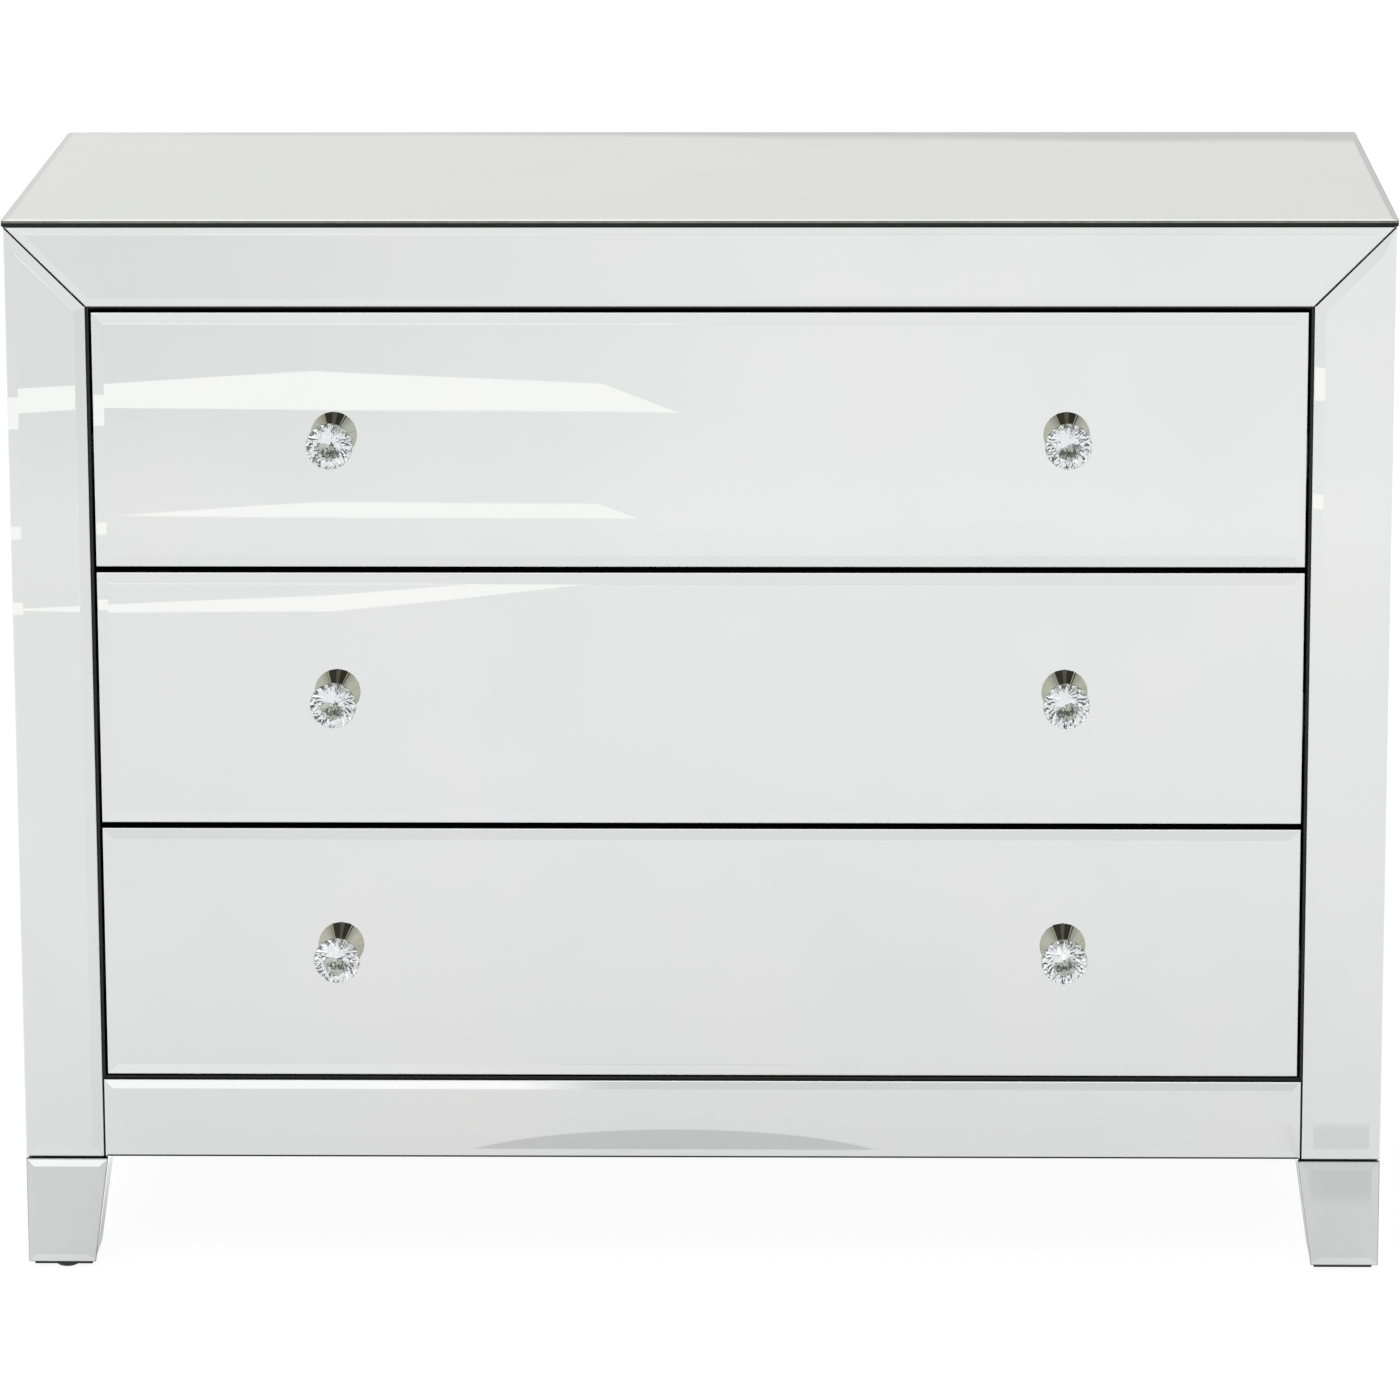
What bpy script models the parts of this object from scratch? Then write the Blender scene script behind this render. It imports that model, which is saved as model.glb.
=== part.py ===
"""Mirrored chest of three drawers on four tapered legs.

Metres, +Z up, and the drawers open towards -Y. The origin is on the floor, midway between the sides
and midway between the tips of the knobs and the back panel. Left is -X.
"""

import math

import bmesh
import bpy
from mathutils import Vector

# Top mirror
TOP_WIDTH = 1.060
TOP_DEPTH = 0.480
TOP_OVERHANG = 0.0015

# Mirror glass: a ground bevel runs round the face of every sheet
GLASS_THICKNESS = 0.005
BEVEL_WIDTH = 0.0085
BEVEL_DEPTH = 0.0012

# Gaps between pieces that touch, and at the mirrors' joints
SEAT_GAP = 0.0003
MITRE_GAP = 0.0008
RAIL_JOINT_GAP = 0.0017

# Front frame: stiles, top rail and bottom rail, with a painted edge left bare round the opening
STILE_WIDTH = 0.0608
TOP_RAIL_HEIGHT = 0.0612
BOTTOM_RAIL_HEIGHT = 0.062
REVEAL = 0.0025

# Case boards; a side panel is a frame and upright battens between two skins, open at its top end
BOARD_THICKNESS = 0.018
BACK_THICKNESS = 0.006
PANEL_SKIN = 0.009
PANEL_FRAME_WIDTH = 0.036
PANEL_BATTEN_WIDTH = 0.018
PANEL_CELLS = 4

# Legs, measured on the square section; only the two inner faces lean
LEG_TOP_WIDTH = 0.064
LEG_FOOT_WIDTH = 0.0525
LEG_HEIGHT = 0.086
LEG_SHADOW_GAP = 0.0013
PAD_THICKNESS = 0.0015
PAD_OUTER_INSET = 0.0045
PAD_INNER_INSET = 0.0008
GLIDE_DIAMETER = 0.018
GLIDE_FLAT_DIAMETER = 0.008
GLIDE_HEIGHT = 0.0027

# Drawer fronts
DRAWER_NAMES = ("bottom_drawer", "middle_drawer", "top_drawer")
DRAWER_HEIGHT = 0.197
DRAWER_GAP = 0.0049
DRAWER_CLEARANCE = 0.0024
FRONT_BOARD_THICKNESS = 0.015
FRONT_BOARD_INSET = 0.0005

# Drawer boxes
BOX_REAR_SPACE = 0.0465
BOX_WALL = 0.012
BOX_BOTTOM_THICKNESS = 0.005
BOX_ABOVE_FRONT_EDGE = 0.012
BOX_BELOW_FRONT_TOP = 0.030
GROOVE_DEPTH = 0.005
GROOVE_HEIGHT_UP = 0.010

# Ball-bearing side runners: a case member and a drawer member, each a steel channel
RUNNER_SPACE = 0.0127
RUNNER_HEIGHT = 0.035
RUNNER_METAL = 0.0012
RUNNER_BOX_CLEARANCE = 0.0027
RUNNER_BALL = 0.0032
RUNNER_PLAY = 0.0004
RUNNER_FRONT_SETBACK = 0.002
RUNNER_REAR_SETBACK = 0.004
RUNNER_LEVEL_SHARE = 0.45

# Knobs: a turned metal cup, and a crystal that sits in it
KNOB_FROM_DRAWER_END = 0.182
SCREW_HOLE_DIAMETER = 0.005
SCREW_SOCKET_DIAMETER = 0.0036
SCREW_SOCKET_DEPTH = 0.0075
KNOB_FLANGE_WIDTH = 0.002
KNOB_FLANGE_HEIGHT = 0.0015
KNOB_NECK_WALL = 0.0027
KNOB_NECK_HEIGHT = 0.002
KNOB_FLOOR = 0.0029
KNOB_LIP = 0.00045
CUP_CLEARANCE = 0.0005

# Crystal: a round brilliant
CRYSTAL_FOLDS = 8
CRYSTAL_DIAMETER = 0.0355
CRYSTAL_ABOVE_RIM = 0.0012
GIRDLE_THICKNESS = 0.0008
CROWN_HEIGHT = 0.0062
PAVILION_DEPTH = 0.0143
TABLE_SHARE = 0.56
STAR_SHARE = 0.78
LOWER_SHARE = 0.25

# How finely round pieces are faceted, and the angle past which an edge stays sharp
KNOB_STEPS = 32
GLIDE_STEPS = 24
GLIDE_ARC_STEPS = 4
HOLE_STEPS = 16
SHARP_ANGLE = math.radians(30)
MERGE_DISTANCE = 0.000001

# Knobs, measured from the foot of the cup outwards
girdle_reach = SCREW_SOCKET_DEPTH + KNOB_FLOOR + CUP_CLEARANCE + PAVILION_DEPTH
rim_reach = girdle_reach - CRYSTAL_ABOVE_RIM
knob_reach = SEAT_GAP + girdle_reach + GIRDLE_THICKNESS + CROWN_HEIGHT

# Depth: the front plane is the face of the front mirrors
front_y = (knob_reach + TOP_OVERHANG - TOP_DEPTH) / 2
back_y = front_y - TOP_OVERHANG + TOP_DEPTH
board_front_y = front_y + GLASS_THICKNESS + SEAT_GAP
board_back_y = back_y - BACK_THICKNESS - SEAT_GAP
drawer_board_back_y = board_front_y + FRONT_BOARD_THICKNESS
box_front_y = drawer_board_back_y + SEAT_GAP
box_back_y = board_back_y - BOX_REAR_SPACE
runner_front_y = box_front_y + RUNNER_FRONT_SETBACK
runner_back_y = box_back_y - RUNNER_REAR_SETBACK

# Width, each a distance from the middle
outer_x = TOP_WIDTH / 2 - TOP_OVERHANG
stile_inner_x = outer_x - STILE_WIDTH
panel_outer_x = outer_x - GLASS_THICKNESS - SEAT_GAP
panel_inner_x = stile_inner_x - REVEAL
drawer_front_x = panel_inner_x - DRAWER_CLEARANCE
knob_x = drawer_front_x - KNOB_FROM_DRAWER_END
box_outer_x = panel_inner_x - RUNNER_SPACE
box_inner_x = box_outer_x - BOX_WALL

# Height, from the floor up
leg_bottom_z = GLIDE_HEIGHT + PAD_THICKNESS
leg_top_z = leg_bottom_z + LEG_HEIGHT
case_bottom_z = leg_top_z + LEG_SHADOW_GAP
bottom_rail_top_z = case_bottom_z + BOTTOM_RAIL_HEIGHT
first_drawer_z = bottom_rail_top_z + REVEAL + DRAWER_CLEARANCE
drawer_pitch = DRAWER_HEIGHT + DRAWER_GAP
last_drawer_top_z = first_drawer_z + len(DRAWER_NAMES) * drawer_pitch - DRAWER_GAP
top_rail_bottom_z = last_drawer_top_z + DRAWER_CLEARANCE + REVEAL
case_top_z = top_rail_bottom_z + TOP_RAIL_HEIGHT
top_board_bottom_z = case_top_z - BOARD_THICKNESS

# Turns that bring a sheet's face from +Z to the side that it covers
FACE_FRONT = (math.pi / 2, 0, 0)
FACE_LEFT = (math.pi / 2, 0, -math.pi / 2)
FACE_RIGHT = (math.pi / 2, 0, math.pi / 2)
FACE_UP = (0, 0, 0)


def clear_scene():
    for thing in list(bpy.data.objects):
        bpy.data.objects.remove(thing, do_unlink=True)


def make_material(name, colour, metallic, roughness, transmission=0.0, ior=1.5):
    material = bpy.data.materials.new(name)
    material.use_nodes = True
    shader = material.node_tree.nodes["Principled BSDF"]
    shader.inputs["Base Color"].default_value = (*colour, 1.0)
    shader.inputs["Metallic"].default_value = metallic
    shader.inputs["Roughness"].default_value = roughness
    shader.inputs["Transmission Weight"].default_value = transmission
    shader.inputs["IOR"].default_value = ior
    material.diffuse_color = (*colour, 1.0)
    return material


def make_empty(name, place):
    empty = bpy.data.objects.new(name, None)
    bpy.context.scene.collection.objects.link(empty)
    empty.location = place
    return empty


def add_piece(name, shape, place, material, body, turn=FACE_UP, smooth=False):
    """Makes an object of a shape, with its origin at a place in the world, under a body's empty."""
    bmesh.ops.recalc_face_normals(shape, faces=shape.faces)
    mesh = bpy.data.meshes.new(name)
    shape.to_mesh(mesh)
    shape.free()
    if smooth:
        mesh.shade_smooth()
        mesh.set_sharp_from_angle(angle=SHARP_ANGLE)
    mesh.materials.append(material)
    piece = bpy.data.objects.new(name, mesh)
    bpy.context.scene.collection.objects.link(piece)
    piece.parent = body
    piece.location = Vector(place) - body.location
    piece.rotation_euler = turn
    return piece


def add_tool(name, shape, place, material, body, turn=FACE_UP):
    """Makes a helper that a Boolean uses, and that is no piece of the chest."""
    tool = add_piece(name, shape, place, material, body, turn)
    tool.hide_render = True
    tool.display_type = "WIRE"
    return tool


def combine(piece, tool, operation):
    modifier = piece.modifiers.new(tool.name, "BOOLEAN")
    modifier.operation = operation
    modifier.solver = "EXACT"
    modifier.object = tool


def cuboid(size):
    shape = bmesh.new()
    bmesh.ops.create_cube(shape, size=1)
    bmesh.ops.scale(shape, vec=size, verts=shape.verts)
    return shape


def add_board(name, low, high, material, body):
    low = Vector(low)
    high = Vector(high)
    return add_piece(name, cuboid(high - low), (low + high) / 2, material, body)


def raise_face(shape, face, offset):
    """Draws a solid out of a face and returns the face at its far end."""
    drawn = bmesh.ops.extrude_face_region(shape, geom=[face])["geom"]
    moved = [part for part in drawn if isinstance(part, bmesh.types.BMVert)]
    bmesh.ops.translate(shape, verts=moved, vec=offset)
    return next(part for part in drawn if isinstance(part, bmesh.types.BMFace))


def drawn_section(outline, length):
    """A section given in X and Z, drawn out along Y and centred on it."""
    shape = bmesh.new()
    ring = [shape.verts.new((x, -length / 2, z)) for x, z in outline]
    raise_face(shape, shape.faces.new(ring), (0, length, 0))
    return shape


def turned(profile, steps):
    """A profile of radii and heights that starts and ends on the Z axis, turned about it."""
    shape = bmesh.new()
    points = [shape.verts.new((radius, 0, height)) for radius, height in profile]
    edges = [shape.edges.new(pair) for pair in zip(points, points[1:])]
    bmesh.ops.spin(
        shape,
        geom=points + edges,
        cent=(0, 0, 0),
        axis=(0, 0, 1),
        angle=math.tau,
        steps=steps,
        use_merge=True,
    )
    bmesh.ops.remove_doubles(shape, verts=shape.verts, dist=MERGE_DISTANCE)
    return shape


def lofted(rings):
    """A solid through rings of as many points each, closed at both ends."""
    shape = bmesh.new()
    levels = [[shape.verts.new(point) for point in ring] for ring in rings]
    for lower, upper in zip(levels, levels[1:]):
        for start in range(len(lower)):
            end = (start + 1) % len(lower)
            shape.faces.new((lower[start], lower[end], upper[end], upper[start]))
    shape.faces.new(levels[0][::-1])
    shape.faces.new(levels[-1])
    return shape


def rectangle(width, height):
    return [
        (-width / 2, -height / 2),
        (width / 2, -height / 2),
        (width / 2, height / 2),
        (-width / 2, height / 2),
    ]


def bevelled_sheet(outline):
    """Mirror glass with its back at Z = 0 and its face at the glass thickness, bevelled all round."""
    shape = bmesh.new()
    back = shape.faces.new([shape.verts.new((across, up, 0)) for across, up in outline])
    face = raise_face(shape, back, (0, 0, GLASS_THICKNESS - BEVEL_DEPTH))
    bmesh.ops.inset_region(shape, faces=[face], thickness=BEVEL_WIDTH, use_even_offset=True)
    bmesh.ops.translate(shape, verts=face.verts, vec=(0, 0, BEVEL_DEPTH))
    return shape


def make_case(body, mirror, paint, back_board):
    make_side(-1, body, mirror, paint)
    make_side(1, body, mirror, paint)

    top_centre_y = (front_y - TOP_OVERHANG + back_y) / 2
    add_piece(
        "top_mirror",
        bevelled_sheet(rectangle(TOP_WIDTH, TOP_DEPTH)),
        (0, top_centre_y, case_top_z + SEAT_GAP),
        mirror,
        body,
    )
    add_board(
        "top_board",
        (-panel_outer_x, board_front_y, top_board_bottom_z),
        (panel_outer_x, board_back_y, case_top_z),
        paint,
        body,
    )
    add_board(
        "back_panel",
        (-panel_outer_x, back_y - BACK_THICKNESS, case_bottom_z),
        (panel_outer_x, back_y, case_top_z),
        back_board,
        body,
    )

    rail_x = panel_inner_x - SEAT_GAP
    rail_back_y = board_front_y + BOARD_THICKNESS
    add_board(
        "front_top_rail",
        (-rail_x, board_front_y, top_rail_bottom_z - REVEAL),
        (rail_x, rail_back_y, top_board_bottom_z - SEAT_GAP),
        paint,
        body,
    )
    add_board(
        "front_bottom_rail",
        (-rail_x, board_front_y, case_bottom_z),
        (rail_x, rail_back_y, bottom_rail_top_z + REVEAL),
        paint,
        body,
    )
    add_board(
        "bottom_board",
        (-rail_x, rail_back_y + SEAT_GAP, case_bottom_z),
        (rail_x, board_back_y, case_bottom_z + BOARD_THICKNESS),
        paint,
        body,
    )

    # The top rail mirror meets the stile mirrors along mitres that run to the outer top corners
    lower_x = stile_inner_x - MITRE_GAP
    upper_x = outer_x - MITRE_GAP
    top_rail = [(-lower_x, 0), (lower_x, 0), (upper_x, TOP_RAIL_HEIGHT), (-upper_x, TOP_RAIL_HEIGHT)]
    add_piece(
        "top_rail_mirror",
        bevelled_sheet(top_rail),
        (0, front_y + GLASS_THICKNESS, top_rail_bottom_z),
        mirror,
        body,
        FACE_FRONT,
    )
    bottom_rail = rectangle(2 * (stile_inner_x - RAIL_JOINT_GAP), BOTTOM_RAIL_HEIGHT)
    add_piece(
        "bottom_rail_mirror",
        bevelled_sheet(bottom_rail),
        (0, front_y + GLASS_THICKNESS, case_bottom_z + BOTTOM_RAIL_HEIGHT / 2),
        mirror,
        body,
        FACE_FRONT,
    )


def panel_cells(width, height):
    """The upright hollows of a side panel's core, in a row along Y with a batten between each two."""
    shape = bmesh.new()
    core_depth = board_back_y - board_front_y - 2 * PANEL_FRAME_WIDTH
    pitch = (core_depth + PANEL_BATTEN_WIDTH) / PANEL_CELLS
    for cell in range(PANEL_CELLS):
        block = bmesh.ops.create_cube(shape, size=1)["verts"]
        bmesh.ops.scale(shape, vec=(width, pitch - PANEL_BATTEN_WIDTH, height), verts=block)
        bmesh.ops.translate(shape, vec=(0, (cell - (PANEL_CELLS - 1) / 2) * pitch, 0), verts=block)
    return shape


def make_side(side, body, mirror, paint):
    """One side of the case: its hollow-core panel, side mirror and stile mirror."""
    label = "left" if side < 0 else "right"
    panel_x = side * (panel_inner_x + panel_outer_x) / 2
    panel_width = panel_outer_x - panel_inner_x
    panel_top_z = top_board_bottom_z - SEAT_GAP
    panel = add_board(
        f"{label}_side_panel",
        (panel_x - panel_width / 2, board_front_y, case_bottom_z),
        (panel_x + panel_width / 2, board_back_y, panel_top_z),
        paint,
        body,
    )
    core_height = panel_top_z - case_bottom_z
    cells = add_tool(
        f"{label}_panel_cells",
        panel_cells(panel_width - 2 * PANEL_SKIN, core_height),
        (panel_x, (board_front_y + board_back_y) / 2, case_bottom_z + PANEL_FRAME_WIDTH + core_height / 2),
        paint,
        body,
    )
    combine(panel, cells, "DIFFERENCE")
    add_piece(
        f"{label}_side_mirror",
        bevelled_sheet(rectangle(back_y - board_front_y, case_top_z - case_bottom_z)),
        (
            side * (outer_x - GLASS_THICKNESS),
            (board_front_y + back_y) / 2,
            (case_bottom_z + case_top_z) / 2,
        ),
        mirror,
        body,
        FACE_LEFT if side < 0 else FACE_RIGHT,
    )
    stile = [
        (side * stile_inner_x, case_bottom_z),
        (side * outer_x, case_bottom_z),
        (side * outer_x, case_top_z),
        (side * stile_inner_x, top_rail_bottom_z),
    ]
    centre_x = side * (stile_inner_x + outer_x) / 2
    outline = [(x - centre_x, z - case_bottom_z) for x, z in stile]
    add_piece(
        f"{label}_stile_mirror",
        bevelled_sheet(outline if side > 0 else outline[::-1]),
        (centre_x, front_y + GLASS_THICKNESS, case_bottom_z),
        mirror,
        body,
        FACE_FRONT,
    )


def make_leg(name, side, end, body, facing):
    """A tapered leg faced with mirror, with its pad and glide. Its origin is its outer corner at the floor."""

    def ring(x_start, x_end, y_start, y_end, height):
        corners = [(x_start, y_start), (x_end, y_start), (x_end, y_end), (x_start, y_end)]
        return [(-side * x, -end * y, height) for x, y in corners]

    pad_start = PAD_OUTER_INSET
    pad_end = LEG_FOOT_WIDTH - PAD_INNER_INSET
    neck_end = LEG_TOP_WIDTH - GLASS_THICKNESS
    neck_top_z = case_bottom_z - SEAT_GAP
    shape = lofted(
        [
            ring(pad_start, pad_end, pad_start, pad_end, GLIDE_HEIGHT),
            ring(pad_start, pad_end, pad_start, pad_end, leg_bottom_z),
            ring(0, LEG_FOOT_WIDTH, BEVEL_DEPTH, LEG_FOOT_WIDTH - BEVEL_DEPTH, leg_bottom_z),
            ring(0, LEG_TOP_WIDTH, BEVEL_DEPTH, LEG_TOP_WIDTH - BEVEL_DEPTH, leg_top_z),
            ring(GLASS_THICKNESS, neck_end, GLASS_THICKNESS, neck_end, leg_top_z),
            ring(GLASS_THICKNESS, neck_end, GLASS_THICKNESS, neck_end, neck_top_z),
        ]
    )
    bmesh.ops.recalc_face_normals(shape, faces=shape.faces)
    middle_z = (leg_bottom_z + leg_top_z) / 2
    faced = [
        face
        for face in shape.faces
        if abs(face.normal.y) > abs(face.normal.x)
        and abs(face.calc_center_median().z - middle_z) < LEG_HEIGHT / 4
    ]
    bmesh.ops.inset_individual(
        shape, faces=faced, thickness=BEVEL_WIDTH, depth=BEVEL_DEPTH, use_even_offset=True
    )
    corner_y = front_y if end < 0 else back_y
    leg = add_piece(name, shape, (side * outer_x, corner_y, 0), facing, body)

    glide_centre = (pad_start + pad_end) / 2
    flat_radius = GLIDE_FLAT_DIAMETER / 2
    dome_width = GLIDE_DIAMETER / 2 - flat_radius
    quarter = [math.pi / 2 * step / GLIDE_ARC_STEPS for step in range(GLIDE_ARC_STEPS + 1)]
    dome = [
        (flat_radius + dome_width * math.sin(angle), GLIDE_HEIGHT * (1 - math.cos(angle)))
        for angle in quarter
    ]
    root_z = GLIDE_HEIGHT + PAD_THICKNESS / 2
    profile = [(0, 0), *dome, (GLIDE_DIAMETER / 2, root_z), (0, root_z)]
    glide = add_tool(
        f"{name}_glide",
        turned(profile, GLIDE_STEPS),
        (side * (outer_x - glide_centre), corner_y - end * glide_centre, 0),
        facing,
        body,
    )
    combine(leg, glide, "UNION")


def runner_sections(side):
    """Sections of the case member and the drawer member, in X from the side panel's face inwards."""
    half = RUNNER_HEIGHT / 2
    web_start = SEAT_GAP
    web_end = SEAT_GAP + RUNNER_METAL
    lip_end = RUNNER_SPACE - RUNNER_BOX_CLEARANCE
    lip_start = lip_end - RUNNER_METAL
    flange = half - RUNNER_METAL
    lip_tip = flange - RUNNER_BALL + RUNNER_PLAY
    case_half = [
        (lip_end, lip_tip),
        (lip_end, half),
        (web_start, half),
    ]
    case_inside = [
        (web_end, flange),
        (lip_start, flange),
        (lip_start, lip_tip),
    ]
    case_section = (
        case_half
        + [(x, -z) for x, z in case_half[::-1]]
        + [(x, -z) for x, z in case_inside[::-1]]
        + case_inside
    )

    drawer_face = RUNNER_SPACE - SEAT_GAP
    drawer_web = drawer_face - RUNNER_METAL
    track = flange - RUNNER_BALL
    inside = track - RUNNER_METAL
    flange_tip = web_end + RUNNER_METAL
    drawer_section = [
        (drawer_face, track),
        (flange_tip, track),
        (flange_tip, inside),
        (drawer_web, inside),
        (drawer_web, -inside),
        (flange_tip, -inside),
        (flange_tip, -track),
        (drawer_face, -track),
    ]
    return [[(-side * x, z) for x, z in section] for section in (case_section, drawer_section)]


def make_runner(drawer_name, side, level, case, drawer, steel):
    label = "left" if side < 0 else "right"
    case_section, drawer_section = runner_sections(side)
    place = (side * panel_inner_x, (runner_front_y + runner_back_y) / 2, level)
    case_member = drawn_section(case_section, runner_back_y - runner_front_y)
    drawer_member = drawn_section(drawer_section, runner_back_y - runner_front_y)
    add_piece(f"{drawer_name}_{label}_case_runner", case_member, place, steel, case)
    add_piece(f"{drawer_name}_{label}_box_runner", drawer_member, place, steel, drawer)


def knob_cup():
    """The turned cup: its foot is at Z = 0 with a screw socket, and its cone opens towards +Z."""
    crystal_radius = CRYSTAL_DIAMETER / 2
    socket_radius = SCREW_SOCKET_DIAMETER / 2
    neck_radius = socket_radius + KNOB_NECK_WALL
    flange_radius = neck_radius + KNOB_FLANGE_WIDTH
    lower_radius = crystal_radius * LOWER_SHARE
    lower_drop = PAVILION_DEPTH * (1 - LOWER_SHARE * math.cos(math.pi / CRYSTAL_FOLDS))
    slope = (crystal_radius - lower_radius) / lower_drop
    mouth_radius = crystal_radius - slope * CRYSTAL_ABOVE_RIM + CUP_CLEARANCE
    profile = [
        (0, SCREW_SOCKET_DEPTH),
        (socket_radius, SCREW_SOCKET_DEPTH),
        (socket_radius, 0),
        (flange_radius, 0),
        (flange_radius, KNOB_FLANGE_HEIGHT),
        (neck_radius, KNOB_FLANGE_HEIGHT + KNOB_NECK_HEIGHT),
        (mouth_radius + KNOB_LIP, rim_reach),
        (mouth_radius, rim_reach),
        (lower_radius + CUP_CLEARANCE, girdle_reach - lower_drop),
        (0, girdle_reach - PAVILION_DEPTH - CUP_CLEARANCE),
    ]
    return turned(profile, KNOB_STEPS)


def brilliant():
    """The cut crystal, with the lower edge of its girdle at Z = 0 and its table towards +Z."""
    radius = CRYSTAL_DIAMETER / 2
    half_fold = math.pi / CRYSTAL_FOLDS
    table_radius = radius * TABLE_SHARE
    star_radius = radius * STAR_SHARE
    lower_radius = radius * LOWER_SHARE

    # Kites are flat: a star point lies in the planes of both kites beside it, and so does a lower point
    star_rise = (radius - star_radius * math.cos(half_fold)) / (radius - table_radius)
    lower_fall = 1 - LOWER_SHARE * math.cos(half_fold)
    shape = bmesh.new()

    def ring(count, ring_radius, first_angle, height):
        angles = [first_angle + math.tau * step / count for step in range(count)]
        return [
            shape.verts.new((ring_radius * math.cos(angle), ring_radius * math.sin(angle), height))
            for angle in angles
        ]

    table = ring(CRYSTAL_FOLDS, table_radius, 0, GIRDLE_THICKNESS + CROWN_HEIGHT)
    star = ring(CRYSTAL_FOLDS, star_radius, half_fold, GIRDLE_THICKNESS + CROWN_HEIGHT * star_rise)
    upper = ring(2 * CRYSTAL_FOLDS, radius, 0, GIRDLE_THICKNESS)
    lower = ring(2 * CRYSTAL_FOLDS, radius, 0, 0)
    deep = ring(CRYSTAL_FOLDS, lower_radius, half_fold, -PAVILION_DEPTH * lower_fall)
    culet = shape.verts.new((0, 0, -PAVILION_DEPTH))

    shape.faces.new(table)
    for fold in range(CRYSTAL_FOLDS):
        following = (fold + 1) % CRYSTAL_FOLDS
        corner = 2 * fold
        middle = corner + 1
        end = 2 * following
        shape.faces.new((table[fold], star[fold], table[following]))
        shape.faces.new((table[fold], star[fold - 1], upper[corner], star[fold]))
        shape.faces.new((star[fold], upper[corner], upper[middle]))
        shape.faces.new((star[fold], upper[middle], upper[end]))
        shape.faces.new((upper[corner], lower[corner], lower[middle], upper[middle]))
        shape.faces.new((upper[middle], lower[middle], lower[end], upper[end]))
        shape.faces.new((deep[fold], lower[middle], lower[corner]))
        shape.faces.new((deep[fold], lower[end], lower[middle]))
        shape.faces.new((culet, deep[fold], lower[corner], deep[fold - 1]))
    return shape


def make_knob(drawer_name, side, level, drawer, chrome, crystal):
    label = "left" if side < 0 else "right"
    foot_y = front_y - SEAT_GAP
    add_piece(
        f"{drawer_name}_{label}_knob_cup",
        knob_cup(),
        (side * knob_x, foot_y, level),
        chrome,
        drawer,
        FACE_FRONT,
        smooth=True,
    )
    add_piece(
        f"{drawer_name}_{label}_knob_crystal",
        brilliant(),
        (side * knob_x, foot_y - girdle_reach, level),
        crystal,
        drawer,
        FACE_FRONT,
    )


def screw_holes(length):
    """Two pins along Y that cut the knob screws' holes."""
    shape = bmesh.new()
    for side in (-1, 1):
        pin = bmesh.ops.create_cone(
            shape,
            cap_ends=True,
            segments=HOLE_STEPS,
            radius1=SCREW_HOLE_DIAMETER / 2,
            radius2=SCREW_HOLE_DIAMETER / 2,
            depth=length,
        )
        bmesh.ops.translate(shape, verts=pin["verts"], vec=(side * knob_x, 0, 0))
    return shape


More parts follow.
